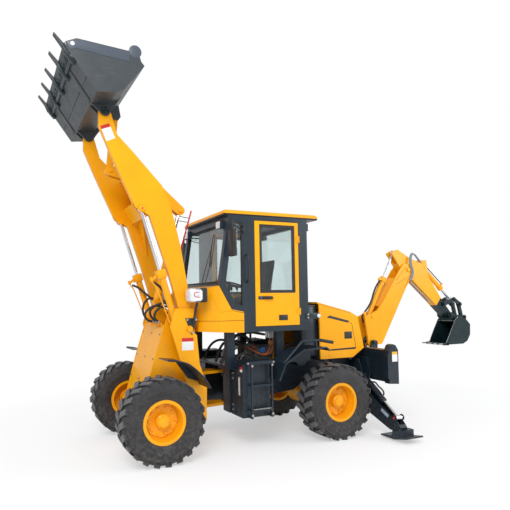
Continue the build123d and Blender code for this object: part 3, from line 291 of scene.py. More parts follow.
chrome = polished_rod("chrome rod")
glass = window_glass("cab glass", (0.78, 0.86, 0.86), 0.02)
print("chrome and glass:", chrome.name, glass.name)

# %% [markdown]
# A tyre is dull black rubber. Its lugs have worn grey where they meet the road, and its wall carries fine
# moulded rings. Both follow the distance from the wheel's centre, so each wheel gets the same material with the
# pattern centred on its own axle.


# %% Tyres
def tyre_rubber(name, axle_x, axle_z):
    material, tree, shader = finish_base(name)
    coords = tree.nodes.new("ShaderNodeTexCoord").outputs["Object"]
    centred = tree.nodes.new("ShaderNodeMapping")
    centred.inputs["Location"].default_value = (-axle_x, 0, -axle_z)
    tree.links.new(coords, centred.inputs["Vector"])
    flat = tree.nodes.new("ShaderNodeVectorMath")
    flat.operation = "MULTIPLY"
    flat.inputs[1].default_value = (1, 0, 1)
    tree.links.new(centred.outputs[0], flat.inputs[0])
    length = tree.nodes.new("ShaderNodeVectorMath")
    length.operation = "LENGTH"
    tree.links.new(flat.outputs[0], length.inputs[0])
    radius = length.outputs["Value"]
    worn = add_group(tree, weathered, {"Colour": (0.016, 0.016, 0.018, 1), "Faded": (0.03, 0.03, 0.033, 1),
                                       "Dust": 0.35, "Patch Scale": 3.0, "Roughness": 0.62})
    tread = math_node(tree, "MULTIPLY", remap(tree, radius, 0.522, 0.533),
                      remap(tree, noise(tree, coords, 30.0), 0.3, 0.7, 0.5, 1.0))
    tree.links.new(blend_colours(tree, tread, worn.outputs["Colour"], (0.135, 0.135, 0.14, 1)),
                   shader.inputs["Base Color"])
    tree.links.new(worn.outputs["Roughness"], shader.inputs["Roughness"])
    rings = math_node(tree, "SINE", math_node(tree, "MULTIPLY", radius, 420.0), 0.0)
    on_wall = math_node(tree, "MULTIPLY", remap(tree, radius, 0.3, 0.32), remap(tree, radius, 0.44, 0.42))
    height = math_node(tree, "ADD", math_node(tree, "MULTIPLY", rings, on_wall),
                       math_node(tree, "MULTIPLY", worn.outputs["Height"], 0.6))
    relief = tree.nodes.new("ShaderNodeBump")
    relief.inputs["Strength"].default_value = 0.35
    relief.inputs["Distance"].default_value = 0.004
    tree.links.new(height, relief.inputs["Height"])
    tree.links.new(relief.outputs["Normal"], shader.inputs["Normal"])
    return material


front_axle_x, rear_axle_x, axle_z = 2.53, -0.135, 0.5375
wheels = {"front_left": (front_axle_x, 1), "front_right": (front_axle_x, -1),
          "rear_left": (rear_axle_x, 1), "rear_right": (rear_axle_x, -1)}


def paint(node_name, *finishes):
    """Gives a CAD node its finish."""
    mesh = nodes[node_name].data
    mesh.materials.clear()
    for material in finishes:
        mesh.materials.append(material)


front_rubber = tyre_rubber("front tyre rubber", front_axle_x, axle_z)
rear_rubber = tyre_rubber("rear tyre rubber", rear_axle_x, axle_z)
for corner in wheels:
    paint("tyre_" + corner, front_rubber if corner.startswith("front") else rear_rubber)
    paint("rim_" + corner, yellow)
print("tyres done")

# %% [markdown]
# Some nodes carry two colours: the dipper's tip is dark, the roof is black below its edge, and the bucket's side
# plates are a lighter slate than its floor. A painter tapes such an edge. Here the tape is a plane across the
# object, and the colour changes where the place passes it.


# %% Taped edges
def add_tone(material, normal, offset, colour):
    """Changes the colour beyond the plane with this normal and distance."""
    tree = material.node_tree
    shader = tree.nodes["Principled BSDF"]
    before = shader.inputs["Base Color"].links[0].from_socket
    coords = tree.nodes.new("ShaderNodeTexCoord").outputs["Object"]
    distance = tree.nodes.new("ShaderNodeVectorMath")
    distance.operation = "DOT_PRODUCT"
    distance.inputs[1].default_value = normal
    tree.links.new(coords, distance.inputs[0])
    beyond = remap(tree, distance.outputs["Value"], offset, offset + 0.003)
    tree.links.new(blend_colours(tree, beyond, before, colour4(colour)), shader.inputs["Base Color"])


dipper_paint = coat("dipper paint", **yellow_values)
add_tone(dipper_paint, (-0.769, 0, -0.639), 1.20, dark_green)
roof_paint = coat("roof paint", **yellow_values)
add_tone(roof_paint, (0, 0, -1), -3.232, (0.012, 0.013, 0.015))
bucket_paint = coat("loader bucket paint", (0.03, 0.036, 0.04), (0.042, 0.05, 0.054), 0.4, 0.1, 2.2, 0.05,
                    scratches=0.4, bare=(0.13, 0.14, 0.15))
for side in (1, -1):
    add_tone(bucket_paint, (0, side, 0), 1.0345, (0.062, 0.076, 0.1))
print("taped edges:", dipper_paint.name, roof_paint.name, bucket_paint.name)

# %% [markdown]
# Now every carried-over node gets its finish: orange yellow on the tower, arms, hood, cab nose, doors and
# backhoe; dark navy on the frame, tank and stabilisers; slate on the loader bucket.

# %% Finish of each node
finish_of = {
    yellow: ["front_frame", "lift_arms", "tilt_rocker", "tilt_link", "tilt_cylinder", "lift_cylinders", "hood",
             "cab_cowl", "cab_door_left", "cab_door_right", "boom", "boom_cylinder", "crowd_cylinder",
             "hoe_cylinder", "front_axle", "rear_axle"],
    dipper_paint: ["dipper"],
    roof_paint: ["cab_roof"],
    navy: ["rear_chassis", "side_boxes", "hoe_frame", "stabiliser_housings", "swing_bracket", "swing_post",
           "stabiliser_leg_left", "stabiliser_leg_right", "stabiliser_cylinder_left",
           "stabiliser_cylinder_right", "rear_fenders", "front_fenders"],
    cab_grey: ["cab_frame"],
    bucket_paint: ["loader_bucket"],
    green_black: ["hoe_bucket", "hoe_lever", "hoe_link"],
    chrome: ["lift_rods", "tilt_rod", "boom_rod", "crowd_rod", "hoe_rod", "stabiliser_rod_left",
             "stabiliser_rod_right"],
    black_plastic_and_opening_shade: ["headlamps", "mirrors", "steering_wheel", "seat_base", "seat_cushion"],
    glass: ["cab_glass", "door_glass_left", "door_glass_right"],
    iron: ["engine_block"],
}
for material, names in finish_of.items():
    for node_name in names:
        paint(node_name, material)
unpainted = [n for n in nodes if not nodes[n].data.materials]
print("nodes without a finish:", unpainted)


# %% [markdown]
# Small pieces are modelled as by hand. A primitive is added where it belongs, shaped in edit mode, and its place
# is then applied, so that it sits in the shared frame like a CAD node. These helpers hold the steps that every
# piece repeats.


# %% Modelling helpers
def clear_selection():
    if bpy.context.object and bpy.context.object.mode != "OBJECT":
        bpy.ops.object.mode_set(mode="OBJECT")
    bpy.ops.object.select_all(action="DESELECT")


def select_faces(piece, direction):
    """Selects, in edit mode, the faces that look along a direction of the piece's own axes."""
    bpy.ops.mesh.select_all(action="DESELECT")
    mesh = bmesh.from_edit_mesh(piece.data)
    for polygon in mesh.faces:
        polygon.select = polygon.normal.dot(Vector(direction)) > 0.9
    bmesh.update_edit_mesh(piece.data)


def settle(piece, name, material, body, smooth=True):
    """Applies the piece's place, names it, and lets it ride on its body."""
    clear_selection()
    piece.select_set(True)
    bpy.context.view_layer.objects.active = piece
    bpy.ops.object.transform_apply(location=True, rotation=True, scale=True)
    if smooth:
        bpy.ops.object.shade_smooth_by_angle(angle=math.radians(35))
    piece.name = name
    if not piece.data.materials:
        piece.data.materials.append(material)
    if body:
        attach(piece, body)
    return piece


def bevel(piece, width, segments=2):
    modifier = piece.modifiers.new("bevel", "BEVEL")
    modifier.width = width
    modifier.segments = segments
    modifier.limit_method = "ANGLE"
    bpy.context.view_layer.objects.active = piece
    bpy.ops.object.modifier_apply(modifier=modifier.name)


def turned(direction, upward=(0, 0, 1)):
    """Rotation that points local Z along direction, with local Y as near upward as it goes."""
    z = Vector(direction).normalized()
    x = Vector(upward).cross(z)
    x = x.normalized() if x.length > 1e-6 else Vector((1, 0, 0))
    return Matrix((x, z.cross(x), z)).transposed().to_euler()


def box_piece(name, low, high, material, body, edge=0.003, inset=0.0, depth=0.0, face=None):
    """A box with eased edges, and one face inset and pushed in where face says."""
    clear_selection()
    low, high = Vector(low), Vector(high)
    bpy.ops.mesh.primitive_cube_add(size=1, location=(low + high) / 2)
    piece = bpy.context.object
    piece.scale = high - low
    bpy.ops.object.transform_apply(location=False, rotation=False, scale=True)
    if inset:
        bpy.ops.object.mode_set(mode="EDIT")
        select_faces(piece, face)
        bpy.ops.mesh.inset(thickness=inset)
        bpy.ops.transform.translate(value=-Vector(face) * depth)
        bpy.ops.object.mode_set(mode="OBJECT")
    if edge:
        bevel(piece, edge)
    return settle(piece, name, material, body)


def join(pieces, name):
    """Several meshes of one kind become one piece."""
    clear_selection()
    for piece in pieces:
        piece.select_set(True)
    bpy.context.view_layer.objects.active = pieces[0]
    bpy.ops.object.join()
    pieces[0].name = name
    return pieces[0]


def bolt(place, direction, size, material=steel):
    """A hexagon head on a washer, made from two short prisms."""
    clear_selection()
    way = Vector(direction).normalized()
    bpy.ops.mesh.primitive_cylinder_add(vertices=16, radius=size * 0.72, depth=size * 0.16,
                                        location=Vector(place) + way * size * 0.08, rotation=turned(way))
    washer = bpy.context.object
    bpy.ops.mesh.primitive_cylinder_add(vertices=6, radius=size * 0.58, depth=size * 0.5,
                                        location=Vector(place) + way * size * 0.4, rotation=turned(way))
    head = bpy.context.object
    bpy.ops.object.mode_set(mode="EDIT")
    select_faces(head, (0, 0, 1))
    bpy.ops.mesh.inset(thickness=size * 0.08)
    bpy.ops.transform.translate(value=way * size * 0.05)
    bpy.ops.object.mode_set(mode="OBJECT")
    both = join([washer, head], "bolt")
    both.data.materials.append(material)
    return both


def bolts(name, places, direction, size, body, material=steel):
    """A set of like bolts: modelled once, then copied, each copy with its own mesh."""
    first = bolt(places[0], direction, size, material)
    made = [first]
    for place in places[1:]:
        clear_selection()
        copy = first.copy()
        copy.data = first.data.copy()
        copy.location = first.location + Vector(place) - Vector(places[0])
        bpy.context.scene.collection.objects.link(copy)
        made.append(copy)
    return settle(join(made, name), name, material, body)


def plate(name, centre, width, height, direction, upward, body, material=white_plate, strip=None,
          thickness=0.0012, strip_share=0.3):
    """A blank label: a thin plate, with a coloured strip across its top where strip says."""
    clear_selection()
    bpy.ops.mesh.primitive_cube_add(size=1, location=centre, rotation=turned(direction, upward))
    piece = bpy.context.object
    piece.scale = (width, height, thickness)
    bpy.ops.object.transform_apply(location=False, rotation=False, scale=True)
    piece.data.materials.append(material)
    if strip:
        piece.data.materials.append(strip)
        bpy.ops.object.mode_set(mode="EDIT")
        bpy.ops.mesh.select_all(action="SELECT")
        cut = piece.matrix_world @ Vector((0, height * (0.5 - strip_share), 0))
        normal = piece.matrix_world.to_3x3() @ Vector((0, 1, 0))
        bpy.ops.mesh.bisect(plane_co=cut, plane_no=normal)
        bpy.ops.object.mode_set(mode="OBJECT")
        for polygon in piece.data.polygons:
            if polygon.center.y > height * (0.5 - strip_share):
                polygon.material_index = 1
    return settle(piece, name, material, body, smooth=False)


def tube(name, points, radius, material, body, smooth_bends=True):
    """A pipe or hose along a line of points, closed at both ends."""
    clear_selection()
    curve = bpy.data.curves.new(name, "CURVE")
    curve.dimensions = "3D"
    curve.bevel_depth = radius
    curve.bevel_resolution = 3
    curve.use_fill_caps = True
    curve.resolution_u = 8
    spline = curve.splines.new("NURBS" if smooth_bends else "POLY")
    spline.points.add(len(points) - 1)
    for target, point in zip(spline.points, points):
        target.co = (*point, 1)
    if smooth_bends:
        spline.order_u = 3
        spline.use_endpoint_u = True
    piece = bpy.data.objects.new(name, curve)
    bpy.context.scene.collection.objects.link(piece)
    piece.select_set(True)
    bpy.context.view_layer.objects.active = piece
    bpy.ops.object.convert(target="MESH")
    return settle(bpy.context.object, name, material, body)


def ring_frame(name, low, high, side_y, width, depth, material, body, corner=0.04):
    """A rubber seal: a rounded rectangle in the X-Z plane, made from a plate whose middle is cut out."""
    clear_selection()
    centre = ((low[0] + high[0]) / 2, side_y, (low[1] + high[1]) / 2)
    bpy.ops.mesh.primitive_cube_add(size=1, location=centre)
    piece = bpy.context.object
    piece.scale = (high[0] - low[0], depth, high[1] - low[1])
    bpy.ops.object.transform_apply(location=False, rotation=False, scale=True)
    bpy.ops.object.mode_set(mode="EDIT")
    bpy.ops.mesh.select_all(action="DESELECT")
    mesh = bmesh.from_edit_mesh(piece.data)
    for edge in mesh.edges:
        along = (edge.verts[0].co - edge.verts[1].co).normalized()
        edge.select = abs(along.y) > 0.9
    bmesh.update_edit_mesh(piece.data)
    bpy.ops.mesh.bevel(offset=corner, segments=4, affect="EDGES")
    bpy.ops.mesh.select_all(action="DESELECT")
    mesh = bmesh.from_edit_mesh(piece.data)
    for polygon in mesh.faces:
        polygon.select = abs(polygon.normal.y) > 0.9
    bmesh.update_edit_mesh(piece.data)
    bpy.ops.mesh.inset(thickness=width)
    bpy.ops.mesh.bridge_edge_loops()
    bpy.ops.object.mode_set(mode="OBJECT")
    return settle(piece, name, material, body)


print("helpers ready")

# %% [markdown]
# Flat plates come next. A plate with any outline starts as an n-gon whose corners are dragged to their
# places, and is extruded to its thickness, as a cutter and a sheet of steel would give it. Round lenses, caps
# and pin heads start as a short cylinder whose face is inset and pushed in or out. Places are measured from
# the ground under the front axle, as in the CAD source, and most pieces come in a left and right pair.

# %% Drawn plates, round caps and pairs
SIDES = ((1, "left"), (-1, "right"))


def at(x, y, z):
    """A place measured from the ground under the front axle."""
    return Vector((front_axle_x + x, y, z))


def on_side(points, y):
    """Points of an outline in the X-Z plane, set at one Y."""
    return [at(x, y, z) for x, z in points]


def drawn_plate(name, corners, push, material, body, edge=0.002):
    clear_selection()
    bpy.ops.mesh.primitive_circle_add(vertices=len(corners), radius=1, fill_type="NGON")
    piece = bpy.context.object
    for vertex, corner in zip(piece.data.vertices, corners):
        vertex.co = corner
    bpy.ops.object.mode_set(mode="EDIT")
    bpy.ops.mesh.select_all(action="SELECT")
    bpy.ops.mesh.extrude_region_move(TRANSFORM_OT_translate={"value": tuple(push)})
    bpy.ops.mesh.select_all(action="SELECT")
    bpy.ops.mesh.normals_make_consistent(inside=False)
    bpy.ops.object.mode_set(mode="OBJECT")
    if edge:
        bevel(piece, edge)
    return settle(piece, name, material, body)


def cap(name, centre, direction, radius, depth, material, body, inset=0.0, push=0.0, sides=24, edge=0.002):
    """A short round piece that stands on its centre point, its outer face inset and pushed where asked."""
    clear_selection()
    way = Vector(direction).normalized()
    bpy.ops.mesh.primitive_cylinder_add(vertices=sides, radius=radius, depth=depth,
                                        location=Vector(centre) + way * depth / 2, rotation=turned(way))
    piece = bpy.context.object
    if inset:
        bpy.ops.object.mode_set(mode="EDIT")
        select_faces(piece, (0, 0, 1))
        bpy.ops.mesh.inset(thickness=inset)
        bpy.ops.transform.translate(value=way * push)
        bpy.ops.object.mode_set(mode="OBJECT")
    if edge:
        bevel(piece, edge)
    return settle(piece, name, material, body)


def span_box(name, x, y, z, side, material, body, edge=0.003, **face):
    """A box from its spans, with Y counted outwards on the side asked for."""
    low_y, high_y = sorted((side * y[0], side * y[1]))
    return box_piece(name, at(x[0], low_y, z[0]), at(x[1], high_y, z[1]), material, body, edge, **face)


def run(name, points, radius, material, body, side=1, smooth_bends=True):
    """A tube through places measured from the axle, mirrored to the side asked for."""
    return tube(name, [at(x, side * y, z) for x, y, z in points], radius, material, body, smooth_bends)


def side_cap(name, place, radius, depth, material, body, side, **face):
    """A cap that faces outwards on one side."""
    return cap(name, at(place[0], side * place[1], place[2]), (0, side, 0), radius, depth, material, body, **face)


def side_bolts(name, places, size, body, side, material=steel):
    """Bolts that face outwards on one side."""
    return bolts(name, [at(x, side * y, z) for x, y, z in places], (0, side, 0), size, body, material)


def ring(centre, radius, y, count, start=0.0):
    """Places spaced evenly round a centre in the X-Z plane, at one Y."""
    angles = [start + 2 * math.pi * k / count for k in range(count)]
    return [Vector((centre.x + radius * math.cos(a), y, centre.z + radius * math.sin(a))) for a in angles]


print("plates, caps and pairs ready")

# %% [markdown]
# The rim's disc has an eight-sided edge, cut so that air passes between it and the drop centre. It is
# modelled as an octagon whose face is inset and pressed back, and lies on the CAD disc.

# %% Wheel discs
for corner, (wheel_x, side) in wheels.items():
    body = "wheel_" + corner
    cap("wheel_disc_" + corner, (wheel_x, side * 0.886, axle_z), (0, side, 0), 0.208, 0.016, yellow, body,
        inset=0.022, push=-0.008, sides=8, edge=0.003)
    cap("hub_cap_" + corner, (wheel_x, side * 0.970, axle_z), (0, side, 0), 0.07, 0.012, yellow, body,
        inset=0.03, push=0.006, sides=32, edge=0.003)
print("wheel discs done")

# %% [markdown]
# A wheel is held by a ring of nuts round its hub, and the hub's cap has a ring of small bolts. They are what
# makes the dished rim read as a real one from a step away.

# %% Wheel nuts and hub caps
bolt_rings = (("wheel_nuts_", 0.165, 0.894, 10, 0.03), ("cap_bolts_", 0.06, 0.98, 8, 0.014))
for corner, (wheel_x, side) in wheels.items():
    centre = Vector((wheel_x, 0, axle_z))
    for name, radius, y, count, size in bolt_rings:
        places = ring(centre, radius, side * y, count)
        bolts(name + corner, places, (0, side, 0), size, "wheel_" + corner, yellow)
print("wheel nuts done")

# %% [markdown]
# Each cab door is a yellow frame with a black rubber seal round its glass, a long black handle with a blue
# lock button, and a small vent low down. The seal is a plate whose rounded middle is cut out, so it is one
# ring.

# %% Door seals, handles and vents
grip_line = ((-1.54, 0.788, 2.052), (-1.56, 0.822, 2.052), (-1.62, 0.83, 2.052), (-1.69, 0.815, 2.052),
             (-1.695, 0.788, 2.052))
for side, label in SIDES:
    body = "door_" + label
    ring_frame("door_seal_" + label, (front_axle_x - 2.089, 2.121), (front_axle_x - 1.501, 3.099),
               side * 0.763, 0.042, 0.018, black_rubber, body, corner=0.03)
    span_box("handle_plate_" + label, (-1.70, -1.47), (0.78, 0.79), (2.030, 2.075), side, black_plastic_and_opening_shade, body,
             0.004)
    run("handle_grip_" + label, grip_line, 0.011, black_plastic_and_opening_shade, body, side)
    side_cap("lock_button_" + label, (-1.505, 0.79, 2.052), 0.013, 0.008, blue_plastic, body, side,
             inset=0.004, push=0.002)
    span_box("door_vent_" + label, (-1.945, -1.80), (0.779, 0.787), (1.73, 1.807), side, black_plastic_and_opening_shade, body,
             inset=0.012, depth=0.005, face=(0, side, 0))
    for row in range(3):
        z = 1.752 + 0.018 * row
        span_box("vent_blade_%d_%s" % (row, label), (-1.93, -1.815), (0.781, 0.786), (z, z + 0.008), side,
                 cab_grey, body, 0.0015)
print("doors dressed")

# %% [markdown]
# The cab's corner post carries a handrail to climb in by. Rubber holds the windscreen and the side panes, and
# a wiper rests on the screen. The screen leans back, so its rubber is placed by two directions, up the screen
# and out of it.

# %% Cab rails, windscreen rubber and wiper
screen_low = at(-0.902, 0, 2.256)
screen_high = at(-1.029, 0, 3.096)
screen_up = (screen_high - screen_low).normalized()
screen_out = Vector((screen_up.z, 0, -screen_up.x))
screen_half, rubber_width, screen_length = 0.698, 0.03, 0.849


def screen_strip(name, corners):
    """A flat rubber strip, its corners given across and up the screen."""
    drawn_plate(name, [screen_low + Vector((0, y, 0)) + screen_up * s for y, s in corners], screen_out * 0.01,
                black_rubber, "rear_frame")


for name, start, end in (("bottom", 0.0, rubber_width), ("top", 0.822, screen_length)):
    screen_strip("screen_rubber_" + name, ((screen_half, start), (screen_half, end), (-screen_half, end),
                                           (-screen_half, start)))
rail_line = ((-1.29, 0.775, 2.27), (-1.29, 0.84, 2.28), (-1.29, 0.845, 2.46), (-1.29, 0.84, 2.65),
             (-1.29, 0.775, 2.66))
pane_corners = ((-1.224, 1.937), (-1.118, 1.957), (-0.958, 2.241), (-1.082, 3.108), (-1.224, 3.108))
for side, label in SIDES:
    inner, outer = side * (screen_half - rubber_width), side * screen_half
    screen_strip("screen_rubber_" + label, ((outer, 0.0), (outer, screen_length), (inner, screen_length),
                                            (inner, 0.0)))
    run("cab_handrail_" + label, rail_line, 0.013, black_plastic_and_opening_shade, "rear_frame", side)
    for k, (start, end) in enumerate(zip(pane_corners, pane_corners[1:] + pane_corners[:1])):
        tube("pane_rubber_%d_%s" % (k, label), on_side((start, end), side * 0.766), 0.012, black_rubber,
             "rear_frame", smooth_bends=False)
wiper_foot = screen_low + screen_up * 0.02 + screen_out * 0.02 + Vector((0, 0.12, 0))
wiper_top = screen_low + screen_up * 0.5 + screen_out * 0.018 + Vector((0, 0.3, 0))
tube("wiper_arm", [wiper_foot, wiper_foot.lerp(wiper_top, 0.5) + screen_out * 0.01, wiper_top], 0.006,
     black_plastic_and_opening_shade, "rear_frame")
tube("wiper_blade", [wiper_top - screen_up * 0.24 - screen_out * 0.008, wiper_top - screen_out * 0.004,
                     wiper_top + screen_up * 0.24 - screen_out * 0.008], 0.007, black_rubber, "rear_frame")
print("cab glass dressed, screen height:", round((screen_high - screen_low).length, 3))

# %% [markdown]
# A work lamp is a black box with a clear lens over a bright bowl. The lens is a rounded plate that stands in
# the lamp's mouth. Mirrors get a rounded housing over their flat CAD block, with the glass on the side that
# faces the driver, and the beacon on the roof gets its amber dome.

# %% Work lamps, mirrors and beacon
white_bowl = coat("white lamp bowl", (0.8, 0.8, 0.8), (0.7, 0.7, 0.7), 0.15, 0.0, 6.0, 0.02, metallic=0.3)
lamp_y = (0.565, 0.675)
lamps = (("front", (-0.936, -0.922), (3.028, 3.122), 1), ("rear", (-2.414, -2.399), (3.058, 3.152), -1))
for side, label in SIDES:
    for end, x, z, way in lamps:
        span_box(end + "_lamp_lens_" + label, x, lamp_y, z, side, white_bowl, "rear_frame", 0.004,
                 inset=0.012, depth=0.004, face=(way, 0, 0))
    span_box("mirror_housing_" + label, (-1.034, -0.972), (0.845, 1.015), (2.615, 2.985), side, black_plastic_and_opening_shade,
             "rear_frame", 0.022)
    span_box("mirror_face_" + label, (-1.037, -1.033), (0.861, 0.999), (2.635, 2.965), side, mirror_glass,
             "rear_frame", 0.0015)
beacon = cap("beacon_dome", at(-1.65, -0.45, 3.284), (0, 0, 1), 0.05, 0.098, amber, "rear_frame", inset=0.012,
             push=0.006, sides=32, edge=0.008)
print("lamps, mirrors and beacon done:", beacon.name)

# %% [markdown]
# The nose below the windscreen is pressed sheet: a crease rises over its hump on each side, and a groove runs
# round it lower down. Each is a thin tube sunk half way into the sheet. The crease is yellow, so that light and
# shade follow it as they follow a pressed line; the groove is dark orange, painted shade for the shadow in it.

# %% Cab nose: creases and groove
nose_middle_x, nose_radius, nose_side_y, nose_rear_x, groove_z = -1.3325, 0.905, 0.78, -1.232, 1.744


def on_nose(degrees, z, side=1):
    """A place on the round nose, at an angle from straight ahead."""
    angle = math.radians(degrees)
    return at(nose_middle_x + nose_radius * math.cos(angle), side * nose_radius * math.sin(angle), z)


groove_angles = (59.4, 54.5, 49.6, 44.7, 39.8)
groove = [at(nose_rear_x, nose_side_y, groove_z)] + [on_nose(angle, groove_z) for angle in groove_angles]
groove += [on_nose(angle, groove_z, -1) for angle in reversed(groove_angles)]
groove.append(at(nose_rear_x, -nose_side_y, groove_z))
# The groove's dark orange is painted shade: the shadow along the pressed groove.
tube("nose_groove", groove, 0.004, painted_crease_shade, "rear_frame", smooth_bends=False)
for side, label in SIDES:
    crease = [on_nose(angle, z, side) for angle, z in ((51.1, 2.165), (55.3, 2.03), (59.4, 1.89))]
    crease += on_side(((-0.895, 1.862), (-1.053, 1.893), (nose_rear_x, 1.857)), side * nose_side_y)
    tube("nose_crease_" + label, crease, 0.007, yellow, "rear_frame", smooth_bends=False)
print("nose radius:", nose_radius)

# %% [markdown]
# A driver's seat is foam inside stretched vinyl, so it bulges between its edges. Each pad starts a little
# smaller than its place, gets an even fine mesh, and is blown up for a moment as cloth under pressure. Twin
# lines of piping are then laid on the crowned face, each point dropped onto it along a ray.


# %% Seat pads
def soft_pad(name, outline, half_width, most):
    """A pad drawn in the X-Z plane and inflated, no point moving further than most."""
    pad = drawn_plate(name, on_side(outline, -half_width), (0, 2 * half_width, 0), vinyl, None, 0.018)
    grid = pad.modifiers.new("even mesh", "REMESH")
    grid.mode = "VOXEL"
    grid.voxel_size = 0.006
    bpy.context.view_layer.objects.active = pad
    bpy.ops.object.modifier_apply(modifier=grid.name)
    before = [vertex.co.copy() for vertex in pad.data.vertices]
    cloth = pad.modifiers.new("inflate", "CLOTH")
    cloth.settings.use_pressure = True
    cloth.settings.uniform_pressure_force = 4
    cloth.settings.effector_weights.gravity = 0
    for step in range(1, 21):
        bpy.context.scene.frame_set(step)
    bpy.ops.object.modifier_apply(modifier=cloth.name)
    bpy.context.scene.frame_set(1)
    for vertex, start in zip(pad.data.vertices, before):
        move = vertex.co - start
        if move.length > most:
            vertex.co = start + move.normalized() * most
    finer = pad.modifiers.new("finer", "SUBSURF")
    finer.levels = finer.render_levels = 1
    bpy.ops.object.modifier_apply(modifier=finer.name)
    clear_selection()
    pad.select_set(True)
    bpy.ops.object.shade_smooth()
    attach(pad, "rear_frame")
    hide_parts("seat_cushion")
    return pad


most_swell = 0.012
seat_pad = soft_pad("seat_pad", [(-2.0, 1.968), (-1.568, 1.968), (-1.568, 2.062), (-2.0, 2.062)], 0.23,
                    most_swell)
back_pad = soft_pad("seat_back_pad", [(-1.945, 2.075), (-1.998, 2.075), (-2.098, 2.65), (-2.050, 2.65)], 0.22,
                    most_swell)


def piping(name, pad, starts, direction):
    """A line of piping on the pad: each start is dropped onto the face along the direction."""
    hits = [pad.ray_cast(start, Vector(direction)) for start in starts]
    return tube(name, [place for hit, place, normal, face in hits if hit], 0.004, black_rubber, "rear_frame")


for k, y in enumerate((-0.1, 0.1)):
    piping("seat_piping_%d" % k, seat_pad, [at(-1.60 - 0.045 * n, y, 2.2) for n in range(8)], (0, 0, -1))
    piping("back_piping_%d" % k, back_pad, [at(-1.70, y, 2.14 + 0.06 * n) for n in range(9)], (-1, 0, 0))
print("seat pads:", len(seat_pad.data.polygons), len(back_pad.data.polygons), "faces")

# %% [markdown]
# Beside the seat stands a console with two short levers, and a small dial pod sits at the foot of the
# steering column. Glass hides most of them, so they stay simple, but a bare floor would look empty from above.

# %% Console, levers and dial pod
lever_y = -0.37
box_piece("console", at(-1.95, -0.44, 1.70), at(-1.56, -0.30, 2.02), black_plastic_and_opening_shade, "rear_frame", 0.02,
          inset=0.02, depth=0.008, face=(0, 0, 1))
for k, x in enumerate((-1.64, -1.74)):
    run("lever_%d" % k, ((x, lever_y, 2.0), (x, lever_y, 2.1), (x + 0.03, lever_y, 2.2)), 0.008, steel,
        "rear_frame")
    cap("lever_knob_%d" % k, at(x + 0.028, lever_y, 2.19), (0.2, 0, 1), 0.021, 0.05, black_rubber, "rear_frame",
        inset=0.008, push=0.004, sides=20, edge=0.007)
box_piece("dial_pod", at(-1.30, -0.15, 2.06), at(-1.20, 0.15, 2.17), black_plastic_and_opening_shade, "rear_frame", 0.02,
          inset=0.02, depth=0.008, face=(-1, 0, 0))
print("console pieces: 6")

# %% [markdown]
# The hood's side has a black slot near its top, a thin line round a removable panel, a square vent and a slot
# at the bottom. Each is a dark piece let in flush with the paint. The slots and the vent are openings in thin
# sheet, and their black is painted shade for the dark inside; the panel line is a dark joint.

# %% Hood slots, vents and the duct to the cab
hood_y = 0.6195
painted_shade_slots = {
    "hood_slot_shade_": [(-2.745, 1.737), (-2.798, 1.771), (-3.163, 1.681), (-3.150, 1.648), (-2.806, 1.728)],
    "hood_bottom_slot_shade_": [(-2.80, 1.253), (-3.29, 1.265), (-3.284, 1.236), (-2.812, 1.230)],
}
for side, label in SIDES:
    for name, outline in painted_shade_slots.items():
        # The black of the slots is painted shade: the dark inside of an opening in the sheet.
        drawn_plate(name + label, on_side(outline, side * hood_y), (0, side * 0.0025, 0), black_plastic_and_opening_shade,
                    "rear_frame", 0.001)
    tube("hood_panel_line_" + label, on_side(((-3.160, 1.676), (-3.228, 1.619), (-3.290, 1.262)), side * hood_y),
         0.004, black_plastic_and_opening_shade, "rear_frame", smooth_bends=False)
    # The vent's black back behind its blades is painted shade for the dark inside of the opening.
    span_box("hood_vent_" + label, (-3.218, -3.074), (0.6185, 0.6245), (1.402, 1.512), side, black_plastic_and_opening_shade,
             "rear_frame", inset=0.014, depth=0.004, face=(0, side, 0))
    for row in range(4):
        z = 1.421 + 0.022 * row
        span_box("hood_vent_blade_%d_%s" % (row, label), (-3.202, -3.090), (0.6185, 0.6245 - 0.001 * (side > 0)),
                 (z, z + 0.01), side, cab_grey, "rear_frame", 0.0015)
    span_box("duct_side_" + label, (-2.60, -2.33), (0.53, 0.56), (1.16, 1.93), side, cab_grey, "rear_frame", 0.01)
    span_box("latch_plate_" + label, (-2.50, -2.245), (0.781, 0.789), (1.735, 1.82), side, cab_grey, "rear_frame")
    side_bolts("latch_bolts_" + label, ((-2.29, 0.789, 1.80), (-2.29, 0.789, 1.755)), 0.02, "rear_frame", side)
    side_cap("side_reflector_" + label, (-2.475, 0.789, 1.777), 0.03, 0.016, white_bowl, "rear_frame", side,
             inset=0.008, push=0.006)
box_piece("duct_top", at(-2.60, -0.56, 1.90), at(-2.33, 0.56, 1.932), cab_grey, "rear_frame", 0.01)
print("hood dressed")

# %% [markdown]
# A loader bucket is stiffened outside its floor by long wear strips, with weld lines across. The lip between
# the teeth is made of bolted edge segments, each tooth sits in an adaptor, and the side plate is doubled along
# its rim. All of them follow the floor's slope, so they are placed by two directions, up the floor and out.

# %% Loader bucket: wear strips, lip and side plates
floor_heel = at(0.833, 0, 4.545)
floor_edge = at(1.180, 0, 5.024)
up_floor = (floor_edge - floor_heel).normalized()
out_floor = Vector((up_floor.z, 0, -up_floor.x))


def on_floor(s, y):
    """A point of the floor's outer face, s metres up from the heel."""
    return floor_heel + up_floor * s + Vector((0, y, 0))


def floor_bar(name, s_low, s_high, y_low, y_high, height, material=bucket_paint, edge=0.003):
    corners = [on_floor(s, y) for s, y in ((s_low, y_low), (s_high, y_low), (s_high, y_high), (s_low, y_high))]
    return drawn_plate(name, corners, out_floor * height, material, "loader_bucket", edge)


